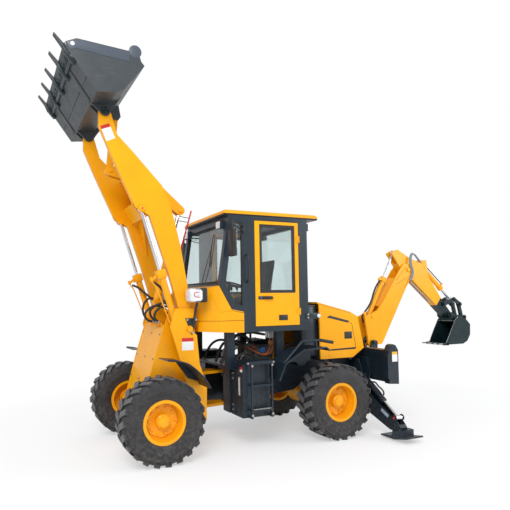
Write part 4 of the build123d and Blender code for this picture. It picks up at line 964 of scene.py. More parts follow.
for k, y in enumerate((-0.64, 0.64)):
    floor_bar("wear_strip_%d" % k, 0.02, 0.45, y - 0.055, y + 0.055, 0.010)
for k, (y_low, y_high) in enumerate(((-1.03, -0.70), (-0.58, 0.58), (0.70, 1.03))):
    floor_bar("weld_line_%d" % k, 0.20, 0.212, y_low, y_high, 0.006, edge=0.002)
floor_bar("floor_edge_bar", 0.455, 0.505, -1.033, 1.033, 0.024, edge=0.008)
tooth_places = [0.98 * (2 * k / 4 - 1) for k in range(5)]
for k, (y_low, y_high) in enumerate(zip(tooth_places, tooth_places[1:])):
    floor_bar("edge_segment_%d" % k, 0.515, 0.60, y_low + 0.075, y_high - 0.075, 0.018, green_black, 0.005)
    bolts("edge_bolts_%d" % k, [on_floor(0.555, y) + out_floor * 0.018 for y in (y_low + 0.15, y_high - 0.15)],
          out_floor, 0.024, "loader_bucket", iron)
adaptor_side = ((0.40, 0.0), (0.42, 0.034), (0.56, 0.05), (0.64, 0.034), (0.64, 0.0))
for k, y in enumerate(tooth_places):
    drawn_plate("tooth_adaptor_%d" % k, [on_floor(s, y - 0.046) + out_floor * h for s, h in adaptor_side],
                (0, 0.092, 0), green_black, "loader_bucket", 0.006)
rim = [(0.425, 5.112), (1.068, 5.145), (1.187, 5.088), (1.138, 5.0), (1.075, 5.03), (0.44, 4.985)]
pin_x, pin_z = 0.648, 4.478
for side, label in SIDES:
    drawn_plate("bucket_rim_" + label, on_side(rim, side * 1.0345), (0, side * 0.0045, 0), bucket_paint,
                "loader_bucket", 0.0015)
    side_cap("bucket_lug_" + label, (0.358, 1.0205, 5.128), 0.08, 0.018, bucket_paint, "loader_bucket", side,
             sides=32, edge=0.003)
    side_cap("rim_hole_" + label, (1.118, 1.0392, 5.080), 0.024, 0.002, white_plate, "loader_bucket", side,
             edge=0)
    side_cap("bucket_pin_head_" + label, (pin_x, 0.655, pin_z), 0.045, 0.008, green_black, "loader_bucket", side,
             inset=0.012, push=-0.003)
    bolts("bucket_pin_bolts_" + label, ring(at(pin_x, 0, pin_z), 0.028, side * 0.662, 3, math.radians(30)),
          (0, side, 0), 0.014, "loader_bucket", iron)
print("bucket dressed, floor length:", round((floor_edge - floor_heel).length, 3))

# %% [markdown]
# The arms carry their pins, a blank label and the stiffening plates of the cross beam. A thin red bar beside
# the tilt rod shows the driver how level the bucket is, so it moves with the rod.

# %% Arms: pins, gussets, label and level bar
for side, label in SIDES:
    side_cap("lift_pin_head_" + label, (0.163, 0.623, 3.245), 0.04, 0.012, yellow, "lift_arms", side,
             inset=0.012, push=0.006, sides=32, edge=0.003)
    side_cap("lift_pin_mark_" + label, (0.163, 0.641, 3.245), 0.012, 0.004, red_plate, "lift_arms", side,
             inset=0.003, push=0.001)
    plate("arm_label_" + label, at(0.61, side * 0.6138, 4.21), 0.125, 0.205, (0, side, 0), (0.40, 0, 0.92),
          "lift_arms", white_plate, red_plate, strip_share=0.22)
    top_gusset = ((-0.03, 0.537, 3.53), (-0.03, 0.12, 3.53), (0.07, 0.12, 3.70), (0.17, 0.537, 3.86))
    low_gusset = ((-0.10, 0.537, 3.19), (-0.10, 0.30, 3.24), (-0.26, 0.537, 2.72))
    drawn_plate("beam_top_gusset_" + label, [at(x, side * y, z) for x, y, z in top_gusset], (0.012, 0, -0.008),
                yellow, "lift_arms")
    drawn_plate("beam_low_gusset_" + label, [at(x, side * y, z) for x, y, z in low_gusset], (0.012, 0, 0),
                yellow, "lift_arms")
rocker_pins = (("rocker", (0.0, 0.105, 3.8), "lift_arms"), ("rocker_low", (0.457, 0.067, 3.859), "tilt_rocker"),
               ("rocker_high", (-0.58, 0.067, 3.355), "tilt_rocker"))
for pin_name, place, body in rocker_pins:
    for side, label in SIDES:
        side_cap("pin_%s_%s" % (pin_name, label), place, 0.034, 0.014, yellow, body, side, inset=0.01, push=0.004)
bar_top, bar_low = at(-0.752, 0.06, 3.362), at(-0.578, 0.06, 2.765)
bar_way = (bar_low - bar_top).normalized()
bar_wide = Vector((bar_way.z, 0, -bar_way.x)) * 0.011
drawn_plate("level_bar", [bar_top - bar_wide, bar_top + bar_wide, bar_low + bar_wide, bar_low - bar_wide],
            (0, 0.006, 0), red_plate, "tilt_rod", 0.001)
stays = (((-0.700, 0.058, 3.185), (-0.548, 0.02, 3.21)), ((-0.715, 0.058, 3.25), (-0.575, 0.02, 3.275)))
for k, ends in enumerate(stays):
    run("level_bar_stay_%d" % k, ends, 0.005, black_plastic_and_opening_shade, "tilt_rod", smooth_bends=False)
print("arms dressed")

# %% [markdown]
# The tower's front cover is held by small screws, and its side plates carry a blank label. Each headlamp is a
# black housing with a clear bulging lens, still wrapped in its film. Its bracket is held by three bolts.

# %% Tower: cover screws, labels and headlamps
lamp_film = coat("clear lamp film", (0.80, 0.81, 0.82), (0.55, 0.57, 0.6), 0.12, 0.0, 14.0, 0.6, clear=0.6)
cover_top_x, cover_top_z = -0.155, 1.60
cover_slope = at(-0.04, 0, 1.226) - at(cover_top_x, 0, cover_top_z)
cover_out = Vector((-cover_slope.z, 0, cover_slope.x)).normalized()
screw_places = [at(cover_top_x, y, cover_top_z) + cover_slope * s
                for y in (-0.40, 0.02, 0.40) for s in (0.08, 0.95, 1.75)]
bolts("cover_screws", screw_places, cover_out, 0.02, "front_frame")
bracket_bolts = ((-0.44, 0.6727, 1.77), (-0.565, 0.6727, 1.77), (-0.507, 0.6727, 1.60))
film_mark = ((-0.535, 0.8645, 2.135), (-0.485, 0.8645, 2.140), (-0.462, 0.8645, 2.105), (-0.478, 0.8645, 2.072),
             (-0.54, 0.8645, 2.068))
for side, label in SIDES:
    plate("tower_label_" + label, at(-0.447, side * 0.6632, 1.447), 0.165, 0.165, (0, side, 0), (0, 0, 1),
          "front_frame", white_plate, red_plate, strip_share=0.3)
    side_bolts("lamp_bracket_bolts_" + label, bracket_bolts, 0.022, "front_frame", side)
    side_cap("arm_pivot_cap_" + label, (-0.475, 0.676, 1.64), 0.03, 0.012, yellow, "front_frame", side,
             inset=0.01, push=-0.003)
    span_box("headlamp_housing_" + label, (-0.665, -0.585), (0.648, 0.868), (2.0, 2.195), side, black_plastic_and_opening_shade,
             "front_frame", 0.028)
    span_box("headlamp_lens_" + label, (-0.61, -0.405), (0.654, 0.862), (2.004, 2.188), side, lamp_film,
             "front_frame", 0.045, inset=0.03, depth=-0.012, face=(1, 0, 0))
    run("headlamp_mark_" + label, film_mark, 0.005, red_plate, "front_frame", side)
    side_cap("tower_red_dot_" + label, (-0.436, 0.663, 1.634), 0.009, 0.004, red_plate, "front_frame", side,
             inset=0.003, push=0.001, sides=16, edge=0.001)
    side_cap("tower_ring_" + label, (-0.436, 0.663, 1.588), 0.02, 0.004, yellow, "front_frame", side,
             inset=0.006, push=-0.002, edge=0.001)
print("tower dressed")

# %% [markdown]
# Oil reaches the two lift cylinders by thin steel pipes along their barrels and by black hoses. Each barrel
# ends in a square clamp whose bracket holds the pipe. A hose runs from the tower to the cylinder, made as one
# fixed piece that rides on neither body.

# %% Lift cylinders: clamps, pipes and hoses
cylinder_up = Vector((0.2991, 0, 0.9542))
cylinder_front = Vector((0.9542, 0, -0.2991))


def on_lift_cylinder(s, out, y):
    """A point s metres up the barrel's middle line and out in front of it."""
    return at(-0.475, y, 1.21) + cylinder_up * s + cylinder_front * out


clamp_side = ((1.175, -0.062), (1.175, 0.066), (1.285, 0.066), (1.285, -0.062))
bracket_side = ((1.205, 0.05), (1.175, 0.15), (1.205, 0.155), (1.25, 0.06))
pipe_places = ((1.18, 0.15), (1.14, 0.14), (1.10, 0.115), (0.75, 0.09), (0.50, 0.072), (0.44, 0.045))
hose_places = ((-0.36, 0.36, 1.70), (-0.36, 0.36, 1.82), (-0.34, 0.38, 1.98), (-0.25, 0.43, 2.09),
               (-0.16, 0.47, 2.17), (-0.08, 0.52, 2.25))
for side, label in SIDES:
    middle = side * 0.575
    drawn_plate("barrel_clamp_" + label, [on_lift_cylinder(s, out, middle - 0.06) for s, out in clamp_side],
                (0, 0.12, 0), yellow, "lift_cylinders", 0.008)
    drawn_plate("pipe_bracket_" + label, [on_lift_cylinder(s, out, middle - 0.014) for s, out in bracket_side],
                (0, 0.028, 0), yellow, "lift_cylinders", 0.005)
    cap("pipe_union_" + label, on_lift_cylinder(1.17, 0.15, middle), cylinder_up, 0.02, 0.05, yellow,
        "lift_cylinders", inset=0.006, push=0.01, sides=6, edge=0.003)
    tube("barrel_pipe_" + label, [on_lift_cylinder(s, out, middle) for s, out in pipe_places], 0.009, yellow,
         "lift_cylinders")
    upper = on_lift_cylinder(1.15, 0.125, side * 0.55)
    hose = tube("lift_hose_" + label, [at(x, side * y, z) for x, y, z in hose_places] + [upper], 0.017,
                black_rubber, None)
    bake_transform(hose)
print("lift cylinders dressed")

# %% [markdown]
# Between the tower's plates a tube ties the two sides, and loops of black hose stand in front of it. They
# come out of the tower, bend over and end in thin steel pipes on the sloping cover. Both ends are on the
# tower, so they are fixed pieces.

# %% Tower: cross tube, hose loops and steel pipes
run("tower_cross_tube", ((-0.318, -0.441, 1.885), (-0.318, 0.441, 1.885)), 0.021, yellow, "front_frame",
    smooth_bends=False)
for side, label in SIDES:
    run("tower_top_edge_" + label, ((-0.27, 0.651, 1.908), (-0.536, 0.651, 1.908)), 0.016, yellow,
        "front_frame", side, smooth_bends=False)
loops = {
    "a": ((-0.36, -0.30, 1.70), (-0.35, -0.29, 1.90), (-0.28, -0.22, 2.05), (-0.17, -0.17, 2.08),
          (-0.08, -0.15, 2.0), (-0.055, -0.14, 1.90), (-0.08, -0.14, 1.80), (-0.15, -0.14, 1.735)),
    "b": ((-0.36, 0.19, 1.70), (-0.34, 0.18, 1.88), (-0.22, 0.17, 1.965), (-0.09, 0.165, 1.95),
          (0.0, 0.16, 1.86), (-0.01, 0.155, 1.785), (-0.075, 0.155, 1.745), (-0.14, 0.155, 1.735)),
    "c": ((-0.36, 0.40, 1.70), (-0.35, 0.39, 1.88), (-0.27, 0.34, 2.0), (-0.16, 0.27, 1.985),
          (-0.06, 0.25, 1.92), (-0.045, 0.25, 1.85), (-0.09, 0.25, 1.775), (-0.15, 0.25, 1.73)),
    "d": ((-0.40, 0.42, 1.70), (-0.36, 0.41, 1.86), (-0.26, 0.38, 1.965), (-0.145, 0.35, 1.93),
          (-0.08, 0.35, 1.855), (-0.085, 0.35, 1.79), (-0.12, 0.35, 1.755), (-0.16, 0.35, 1.735)),
}
for name, points in loops.items():
    run("tower_hose_" + name, points, 0.016, black_rubber, "front_frame")
    end = at(*points[-1])
    pipe_steps = ((0.025, 0, 0.012), (0, 0, 0), (-0.03, 0, -0.022), (-0.035, 0, -0.075))
    tube("tower_pipe_" + name, [end + Vector(step) for step in pipe_steps], 0.0085, yellow, "front_frame")
    cap("hose_crimp_" + name, end + Vector((0.03, 0, 0.014)), (-0.9, 0, -0.45), 0.0195, 0.035, steel,
        "front_frame", inset=0.004, push=0.002, sides=12)
print("hose loops:", len(loops))

# %% [markdown]
# The tank beside the chassis is folded sheet. Its front face has a sight gauge and a flange held by bolts,
# and the ladder on it has bolted rails and a lower rung cut like a saw for grip. One tooth is modelled and
# then copied along the rung.

# %% Tank and ladder
face_x = -1.142
tooth_count, tooth_step = 14, 0.0205
for side, label in SIDES:
    span_box("gauge_frame_" + label, (face_x, face_x + 0.012), (0.79, 0.83), (0.73, 0.985), side, steel,
             "rear_frame", 0.004, inset=0.008, depth=0.005, face=(1, 0, 0))
    run("gauge_glass_" + label, ((face_x + 0.01, 0.81, 0.745), (face_x + 0.01, 0.81, 0.97)), 0.008, white_plate,
        "rear_frame", side, smooth_bends=False)
    plate("tank_label_" + label, at(face_x + 0.0006, side * 0.852, 1.085), 0.07, 0.07, (1, 0, 0), (0, 0, 1),
          "rear_frame", white_plate, red_plate, strip_share=0.5)
    flange = [at(face_x, side * y, z) for y, z in ((0.55, 0.45), (0.68, 0.45), (0.68, 1.045), (0.55, 1.045))]
    drawn_plate("tank_flange_" + label, flange, (0.006, 0, 0), navy, "rear_frame")
    bolts("flange_bolts_" + label, [at(face_x + 0.006, side * 0.615, z) for z in (0.51, 0.58, 0.94, 1.01)],
          (1, 0, 0), 0.02, "rear_frame")
    side_bolts("ladder_bolts_" + label, [(x, 0.985, z) for x in (-1.24, -1.55) for z in (0.485, 1.14)], 0.024,
               "rear_frame", side)
    span_box("ladder_back_" + label, (-1.447, -1.425), (0.895, 0.899), (0.46, 1.15), side, black_plastic_and_opening_shade,
             "rear_frame", 0.001, inset=0.003, depth=0.001, face=(0, side, 0))
    clear_selection()
    bpy.ops.mesh.primitive_cone_add(vertices=4, radius1=0.011, radius2=0.003, depth=0.012,
                                    location=at(-1.53, side * 0.972, 0.561))
    teeth = [bpy.context.object]
    bevel(teeth[0], 0.001, 1)
    for k in range(1, tooth_count):
        copy = teeth[0].copy()
        copy.data = teeth[0].data.copy()
        copy.location.x += tooth_step * k
        bpy.context.scene.collection.objects.link(copy)
        teeth.append(copy)
    settle(join(teeth, "rung"), "rung_teeth_" + label, steel, "rear_frame", smooth=False)
    for row in range(7):
        x = -1.57 + 0.062 * row
        span_box("platform_rib_%d_%s" % (row, label), (x, x + 0.022), (0.705, 0.995), (1.199, 1.204), side, navy,
                 "rear_frame", 0.002)
    side_bolts("platform_bolts_" + label, ((-1.17, 1.0, 1.18), (-1.56, 1.0, 1.18)), 0.018, "rear_frame", side)
print("tank and ladder dressed")

# %% [markdown]
# Under the cab, on the chassis deck, sit the drive pump, a filter and a valve block, with orange cables that
# hang in two loops and a bundle of black hoses. The photograph shows them in the gap above the ladder.

# %% Under the cab: pump, filter, cables and hoses
orange_cable = coat("orange cable", (0.55, 0.12, 0.02), (0.5, 0.14, 0.03), 0.45, 0.05, 8.0, 0.05)
deck_z, left = 1.1101, 1
cap("pump_body", at(-1.96, 0.20, 1.235), (1, 0, 0), 0.11, 0.30, iron, "rear_frame", inset=0.02, push=0.02,
    edge=0.012)
span_box("pump_foot", (-1.94, -1.70), (0.12, 0.28), (deck_z, 1.16), left, iron, "rear_frame", 0.008, inset=0.02,
         depth=0.004, face=(1, 0, 0))
side_cap("filler_cap", (-1.79, 0.27, 1.27), 0.05, 0.04, blue_plastic, "rear_frame", left, inset=0.014, push=0.01,
         sides=16, edge=0.005)
side_blocks = (
    ("filter_block", (-2.105, -1.98), (0.14, 0.30), (deck_z, 1.40), yellow, 0.012, 0.02, 0.006),
    ("relay_box", (-1.96, -1.825), (0.34, 0.43), (1.45, 1.5755), white_bowl, 0.006, 0.012, 0.003),
    ("valve_block", (-1.68, -1.50), (0.06, 0.25), (deck_z, 1.36), iron, 0.008, 0.02, 0.006),
)
for name, x, y, z, material, edge, inset, depth in side_blocks:
    span_box(name, x, y, z, left, material, "rear_frame", edge, inset=inset, depth=depth, face=(0, 1, 0))
side_cap("drain_plug", (-1.66, 0.24, 1.31), 0.03, 0.03, red_plate, "rear_frame", left, inset=0.008, push=0.004,
         sides=6, edge=0.003)
run("cable_outer", ((-1.885, 0.35, 1.452), (-1.894, 0.35, 1.35), (-1.87, 0.35, 1.245), (-1.79, 0.35, 1.205),
                    (-1.67, 0.35, 1.235), (-1.56, 0.35, 1.30), (-1.52, 0.24, 1.33)), 0.009, orange_cable,
    "rear_frame")
run("cable_inner", ((-1.925, 0.37, 1.452), (-1.935, 0.37, 1.33), (-1.90, 0.37, 1.235), (-1.81, 0.37, 1.20),
                    (-1.74, 0.30, 1.20), (-1.69, 0.24, 1.22)), 0.009, orange_cable, "rear_frame")
run("white_lever", ((-1.368, 0.4, 1.12), (-1.375, 0.4, 1.19), (-1.462, 0.4, 1.262)), 0.008, white_plate,
    "rear_frame", smooth_bends=False)
deck_hoses = (
    ((-1.06, 0.42, 1.12), (-1.10, 0.44, 1.30), (-1.18, 0.40, 1.46), (-1.30, 0.34, 1.52), (-1.46, 0.30, 1.50)),
    ((-1.08, 0.30, 1.12), (-1.16, 0.32, 1.22), (-1.30, 0.34, 1.20), (-1.46, 0.28, 1.24), (-1.55, 0.18, 1.30)),
    ((-1.06, 0.20, 1.12), (-1.12, 0.20, 1.34), (-1.28, 0.18, 1.44), (-1.44, 0.16, 1.40), (-1.58, 0.14, 1.36)),
    ((-1.20, 0.48, 1.12), (-1.26, 0.49, 1.22), (-1.40, 0.48, 1.27), (-1.56, 0.46, 1.20), (-1.66, 0.44, 1.12)),
    ((-1.30, 0.10, 1.12), (-1.34, 0.10, 1.40), (-1.44, 0.10, 1.50), (-1.60, 0.10, 1.50), (-1.74, 0.12, 1.34)),
    ((-1.10, -0.30, 1.12), (-1.16, -0.32, 1.30), (-1.34, -0.30, 1.42), (-1.52, -0.20, 1.36), (-1.62, 0, 1.30)),
    ((-2.00, 0.34, 1.12), (-2.10, 0.36, 1.30), (-2.24, 0.38, 1.36), (-2.38, 0.40, 1.30), (-2.46, 0.42, 1.12)),
)
for k, points in enumerate(deck_hoses):
    run("deck_hose_%d" % k, points, 0.019, black_rubber, "rear_frame")
print("deck hoses:", len(deck_hoses))

# %% [markdown]
# A round tube runs along the rear fender's edge, the rail above it ends in a soft black grip, and the
# fender's top is ribbed to step on. The end columns of the backhoe frame carry a blank label each.

# %% Fenders, rails and end columns
amber_plate = coat("amber label film", (0.8, 0.42, 0.02), (0.76, 0.4, 0.03), 0.35, 0.05, 5.0, 0.02)
rear_edge = ((-1.628, 0.922), (-1.731, 1.142), (-2.029, 1.314), (-2.411, 1.336), (-2.468, 1.290))
front_edge = ((-0.045, 1.292), (-0.235, 1.272), (-0.395, 1.178), (-0.55, 1.018), (-0.612, 0.91))
for side, label in SIDES:
    tube("fender_edge_" + label, on_side(rear_edge, side * 1.048), 0.013, navy, "rear_frame", smooth_bends=False)
    run("rail_grip_" + label, ((-2.352, 0.99, 1.4365), (-2.45, 0.99, 1.418), (-2.566, 0.99, 1.397)), 0.0245,
        black_rubber, "rear_frame", side)
    for row in range(5):
        x = -2.08 - 0.07 * row
        z = 1.3225 + (x + 2.029) * -0.055
        span_box("fender_rib_%d_%s" % (row, label), (x, x + 0.026), (0.69, 1.03), (z, z + 0.009), side, navy,
                 "rear_frame", 0.002)
    tube("front_fender_edge_" + label, on_side(front_edge, side * 1.038), 0.011, navy, "front_frame")
    plate("column_label_" + label, at(-3.718, side * 1.0006, 1.126), 0.104, 0.15, (0, side, 0), (0, 0, 1),
          "rear_frame", white_plate, amber_plate, strip_share=0.28)
    side_cap("column_eye_ring_" + label, (-3.69, 1.0, 1.262), 0.036, 0.003, navy, "rear_frame", side,
             inset=0.008, push=-0.001, sides=32, edge=0.001)
print("fenders and columns dressed")

# %% [markdown]
# The backhoe shows its hoses and pipes. A black hose runs up beside the crowd cylinder, two grey sleeved
# hoses arch over the dipper's pin, and a thin pipe lies on the bucket cylinder. Each hose that crosses a
# joint is one fixed piece that rides on neither body.

# %% Backhoe: hoses, pipes and pin heads
crowd_line = on_side(((-3.955, 1.60), (-3.90, 1.68), (-3.95, 1.765), (-4.06, 1.87), (-4.135, 1.98), (-4.19, 2.13),
                      (-4.26, 2.26), (-4.345, 2.345)), 0.05)
hose = tube("crowd_hose", crowd_line, 0.016, black_rubber, None)
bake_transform(hose)
crowd_up = Vector((-0.475, 0, 0.88))
crowd_front = Vector((0.88, 0, 0.475))
crowd_base = at(-4.09, 0, 1.70)


def on_crowd(points, y):
    """Points up the crowd cylinder and out in front of it."""
    return [crowd_base + crowd_up * s + crowd_front * out + Vector((0, y, 0)) for s, out in points]


drawn_plate("crowd_clamp", on_crowd(((0.70, -0.055), (0.70, 0.055), (0.765, 0.055), (0.765, -0.055)), -0.05),
            (0, 0.1, 0), yellow, "crowd_cylinder", 0.008)
drawn_plate("crowd_bracket", on_crowd(((0.705, 0.045), (0.665, 0.12), (0.70, 0.135), (0.745, 0.05)), 0.035),
            (0, 0.03, 0), yellow, "crowd_cylinder", 0.005)
drawn_plate("crowd_base_plate", on_side([(-3.90, 1.775), (-3.945, 1.80), (-3.985, 1.70), (-3.945, 1.69)], 0.085),
            (0, 0.02, 0), yellow, "boom", 0.004)
for k, (shift, y, rise) in enumerate(((0.0, 0.128, 0.0), (-0.028, 0.132, -0.012))):
    line = ((-4.955 + shift, y, 2.335), (-5.005 + shift, y, 2.40), (-5.03 + shift, y, 2.50),
            (-4.985 + shift, y, 2.62), (-4.975 + shift, y, 2.73), (-5.02 + shift, y - 0.01, 2.83 + rise),
            (-5.10 + shift, 0.10, 2.84 + rise), (-5.20 + shift, 0.07, 2.77 + rise),
            (-5.318, 0.045 + 0.03 * k, 2.668))
    hose = run("dipper_hose_%d" % k, line, 0.0125, grey_hose, None)
    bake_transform(hose)
run("boom_pipe", ((-4.948, 0.122, 2.345), (-4.914, 0.120, 2.275), (-4.866, 0.116, 2.215), (-4.84, 0.10, 2.19)),
    0.010, yellow, "boom")
hoe_down = Vector((-0.7466, 0, -0.6653))
hoe_back = Vector((-0.6653, 0, 0.7466))
hoe_base = at(-5.40, 0, 2.60)


def on_hoe_cylinder(s, out):
    """A point down the bucket cylinder and out behind it, a little to the left."""
    return hoe_base + hoe_down * s + hoe_back * out + Vector((0, 0.02, 0))


hoe_pipe_places = ((-0.02, 0.060), (0.10, 0.062), (0.54, 0.072), (0.565, 0.070), (0.568, 0.04))
tube("hoe_pipe", [on_hoe_cylinder(s, out) for s, out in hoe_pipe_places], 0.009, green_black, "hoe_cylinder")
cap("hoe_union", on_hoe_cylinder(0.565, 0.045), hoe_back, 0.02, 0.045, yellow, "hoe_cylinder", inset=0.006,
    push=0.004, sides=6, edge=0.003)
# The boom has two creases on each side, drawn as thin dark orange lines: painted shade along each crease.
boom_crease_shade_lines = (((-4.657, 2.267), (-4.960, 2.415)), ((-4.661, 2.345), (-4.893, 2.585)))
for side, label in SIDES:
    for k, line in enumerate(boom_crease_shade_lines):
        tube("boom_seam_%d_%s" % (k, label), on_side(line, side * 0.1105), 0.0028, painted_crease_shade, "boom",
             smooth_bends=False)
    tube("dipper_pipe_" + label, on_side(((-5.075, 2.325), (-5.30, 2.150), (-5.56, 1.944)), side * 0.035), 0.011,
         steel, "dipper", smooth_bends=False)
hoe_pins = (
    ("boom_foot", (-4.08, 0.158, 1.27), 0.034, "swing_post", navy),
    ("crowd_base", (-4.09, 0.11, 1.70), 0.026, "boom", yellow),
    ("dipper_pin", (-4.95, 0.122, 2.53), 0.036, "boom", yellow),
    ("lever_pin", (-5.83, 0.114, 1.90), 0.028, "dipper", green_black),
    ("bucket_pin", (-5.96, 0.152, 1.69), 0.036, "hoe_bucket", green_black),
    ("link_pin", (-6.305, 0.152, 1.645), 0.024, "hoe_bucket", green_black),
    ("lever_eye", (-6.09, 0.118, 1.985), 0.026, "hoe_lever", green_black),
    ("lever_end", (-6.24, 0.118, 1.89), 0.026, "hoe_lever", green_black),
)
for name, place, radius, body, material in hoe_pins:
    for side, label in SIDES:
        side_cap("hoe_%s_%s" % (name, label), place, radius, 0.012, material, body, side, inset=radius * 0.3,
                 push=0.004, edge=0.003)
foot_hoses = (((-4.0, 0.05, 1.12), (-3.955, 0.052, 1.20), (-3.93, 0.052, 1.27), (-3.965, 0.05, 1.34),
               (-4.02, 0.045, 1.38)),
              ((-4.03, -0.02, 1.12), (-3.975, 0.0, 1.19), (-3.955, 0.01, 1.26), (-3.985, 0.01, 1.33),
               (-4.04, 0.0, 1.37)))
for k, points in enumerate(foot_hoses):
    run("foot_hose_%d" % k, points, 0.014, black_rubber, "swing_post")
print("backhoe dressed, pin heads:", 2 * len(hoe_pins))

# %% [markdown]
# Digging wears paint off the edges that meet the ground. The bucket's mouth and its teeth are bright steel: a
# thin rounded strip follows each edge, and every tooth gets a pointed tip, wedge shaped as a forged tooth is.

# %% Backhoe bucket: worn edges and teeth
worn_edge = coat("worn steel edge", (0.34, 0.34, 0.33), (0.2, 0.2, 0.2), 0.35, 0.15, 12.0, 0.15, metallic=0.8)
mouth_side = ((-6.058, 1.662), (-5.986, 1.598), (-5.862, 1.398), (-5.722, 1.152))
for side, label in SIDES:
    tube("hoe_side_edge_" + label, on_side(mouth_side, side * 0.1985), 0.0055, worn_edge, "hoe_bucket",
         smooth_bends=False)
for name, x, z in (("lip", -5.722, 1.153), ("top", -5.992, 1.581)):
    run("hoe_%s_edge" % name, ((x, -0.2, z), (x, 0.2, z)), 0.008, worn_edge, "hoe_bucket", smooth_bends=False)
tip_side = ((-5.66, 1.146), (-5.66, 1.178), (-5.60, 1.181), (-5.542, 1.172), (-5.541, 1.163), (-5.60, 1.152))
holder_side = ((-5.80, 1.136), (-5.80, 1.178), (-5.70, 1.186), (-5.655, 1.182), (-5.655, 1.143), (-5.70, 1.138))
for tooth in range(4):
    y = 0.175 * (2 * tooth / 3 - 1)
    drawn_plate("hoe_tooth_%d" % tooth, on_side(tip_side, y - 0.026), (0, 0.052, 0), worn_edge,
                "hoe_bucket", 0.004)
    drawn_plate("hoe_adaptor_%d" % tooth, on_side(holder_side, y - 0.03), (0, 0.06, 0), green_black,
                "hoe_bucket", 0.005)
print("bucket teeth: 4")

# %% [markdown]
# Each stabiliser leg ends between two round lugs whose pin ends are painted red. The leg carries a pale blank
# label, and a short black hose and a steel pipe feed its cylinder.

# %% Stabilisers: lugs, labels, pipe and hose
pale_plate = coat("pale label film", (0.36, 0.42, 0.48), (0.3, 0.36, 0.42), 0.35, 0.05, 5.0, 0.02)
leg_x = -3.43
leg_lugs = (("rod", (1.33, 0.30), 0.046), ("foot", (1.405, 0.135), 0.036))
housing_pins = (("leg", (0.50, 0.48), 0.03), ("barrel", (0.60, 0.81), 0.024))
pipe_line = ((0.10, 0.03), (0.11, 0.055), (0.20, 0.058), (0.48, 0.058), (0.50, 0.03))
hose_front_x = -3.343
for side, label in SIDES:
    leg, barrel_body = "stabiliser_leg_" + label, "stabiliser_cylinder_" + label
    for way, end in ((1, "front"), (-1, "rear")):
        face_x = leg_x + way * 0.062
        for lug, (y, z), radius in leg_lugs:
            cap("%s_lug_%s_%s" % (lug, end, label), at(face_x, side * y, z), (way, 0, 0), radius, 0.014,
                navy, leg, inset=radius * 0.25, push=0.003, edge=0.003)
            cap("%s_pin_%s_%s" % (lug, end, label), at(face_x + way * 0.016, side * y, z), (way, 0, 0),
                radius * 0.42, 0.006, red_plate, leg, inset=radius * 0.12, push=0.002, sides=16, edge=0.001)
        for pin, (y, z), radius in housing_pins:
            cap("%s_pin_head_%s_%s" % (pin, end, label), at(leg_x + way * 0.090, side * y, z), (way, 0, 0),
                radius, 0.008, navy, "rear_frame", inset=radius * 0.3, push=0.002)
    slope = Vector((0, side * 0.327, -0.175)).normalized()
    plate("leg_label_" + label, at(-3.3674, side * 1.13, 0.335), 0.16, 0.05, (1, 0, 0),
          slope.cross(Vector((side, 0, 0))) * -1, leg, pale_plate)
    barrel_way = Vector((0, side * 0.73, -0.51)).normalized()
    barrel_top = Vector((0, side * 0.51, 0.73)).normalized()
    barrel_base = at(leg_x, side * 0.60, 0.81)
    tube("leg_pipe_" + label, [barrel_base + barrel_way * s + barrel_top * out for s, out in pipe_line], 0.008,
         navy, barrel_body)
    union_foot = barrel_base + barrel_way * 0.50 + barrel_top * 0.03
    union_top = union_foot + barrel_top * 0.032
    cap("leg_union_" + label, union_foot, barrel_top, 0.015, 0.032, steel, barrel_body, inset=0.004, push=0.003,
        sides=6)
    hose_line = [at(x, side * y, z) for x, y, z in ((hose_front_x, 0.84, 0.74), (hose_front_x, 0.92, 0.765),
                                                    (hose_front_x, 0.99, 0.76), (-3.345, 1.04, 0.71),
                                                    (-3.385, 1.07, 0.67))]
    hose = tube("leg_hose_" + label, hose_line + [union_top + barrel_top * 0.04, union_top - barrel_top * 0.01],
                0.012, black_rubber, None)
    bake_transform(hose)
print("stabilisers dressed")
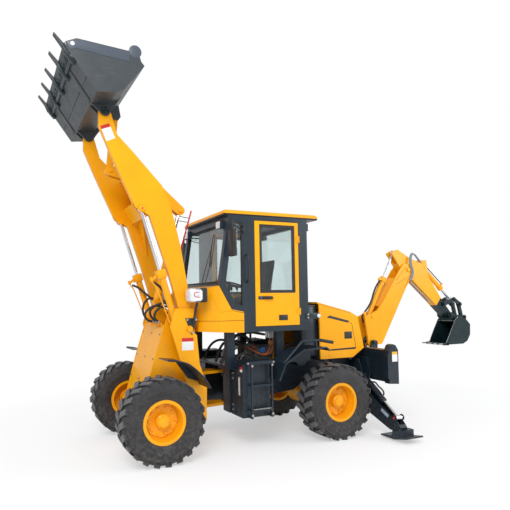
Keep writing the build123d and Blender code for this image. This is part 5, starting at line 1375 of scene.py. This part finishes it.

# %% [markdown]
# The stage is a plain pale floor under a soft light. A white background comes from the world's colour as the
# camera sees it, with the same white for rays through glass, so that glass shows it too; reflections see a
# softer, bluish light.

# %% Floor, light and background
clear_selection()
bpy.ops.mesh.primitive_plane_add(size=60, location=(0, 0, -0.001))
floor = bpy.context.object
floor.name = "floor"
floor_paint, floor_tree, floor_shader = finish_base("pale floor")
floor_shader.inputs["Base Color"].default_value = (0.93, 0.93, 0.93, 1)
floor_shader.inputs["Roughness"].default_value = 0.9
paper = floor_tree.nodes.new("ShaderNodeEmission")
paper.inputs["Color"].default_value = (1, 1, 1, 1)
floor_place = floor_tree.nodes.new("ShaderNodeVectorMath")
floor_place.operation = "LENGTH"
floor_tree.links.new(floor_tree.nodes.new("ShaderNodeTexCoord").outputs["Object"], floor_place.inputs[0])
far_out = remap(floor_tree, floor_place.outputs["Value"], 2.5, 6.0, 0.45, 1.0)
eye_ray = floor_tree.nodes.new("ShaderNodeLightPath").outputs["Is Camera Ray"]
floor_mix = floor_tree.nodes.new("ShaderNodeMixShader")
floor_tree.links.new(math_node(floor_tree, "MULTIPLY", far_out, eye_ray), floor_mix.inputs[0])
floor_tree.links.new(floor_shader.outputs[0], floor_mix.inputs[1])
floor_tree.links.new(paper.outputs[0], floor_mix.inputs[2])
floor_tree.links.new(floor_mix.outputs[0], floor_tree.nodes["Material Output"].inputs["Surface"])
floor.data.materials.append(floor_paint)

world = bpy.data.worlds.new("soft studio")
bpy.context.scene.world = world
world.use_nodes = True
sky = world.node_tree
background = sky.nodes["Background"]
background.inputs["Color"].default_value = (0.95, 0.97, 1.0, 1)
background.inputs["Strength"].default_value = 0.75
white = sky.nodes.new("ShaderNodeBackground")
white.inputs["Color"].default_value = (1, 1, 1, 1)
white.inputs["Strength"].default_value = 1.0
seen = sky.nodes.new("ShaderNodeLightPath")
seen_directly = math_node(sky, "MAXIMUM", seen.outputs["Is Camera Ray"], seen.outputs["Is Transmission Ray"])
mix = sky.nodes.new("ShaderNodeMixShader")
sky.links.new(seen_directly, mix.inputs[0])
sky.links.new(background.outputs[0], mix.inputs[1])
sky.links.new(white.outputs[0], mix.inputs[2])
sky.links.new(mix.outputs[0], sky.nodes["World Output"].inputs["Surface"])


def lamp(name, place, aim, size, power):
    data = bpy.data.lights.new(name, "AREA")
    data.size = size
    data.energy = power
    lamp_object = bpy.data.objects.new(name, data)
    bpy.context.scene.collection.objects.link(lamp_object)
    lamp_object.location = place
    lamp_object.rotation_mode = "QUATERNION"
    lamp_object.rotation_quaternion = (Vector(aim) - Vector(place)).to_track_quat("-Z", "Y")


lamp("key", (6.5, 8.5, 9.0), (0, 0, 1.8), 5.0, 820)
lamp("fill", (-8.0, 7.0, 5.0), (-1, 0, 1.5), 5.0, 330)
bpy.context.scene.view_settings.view_transform = "Standard"
print("stage done")
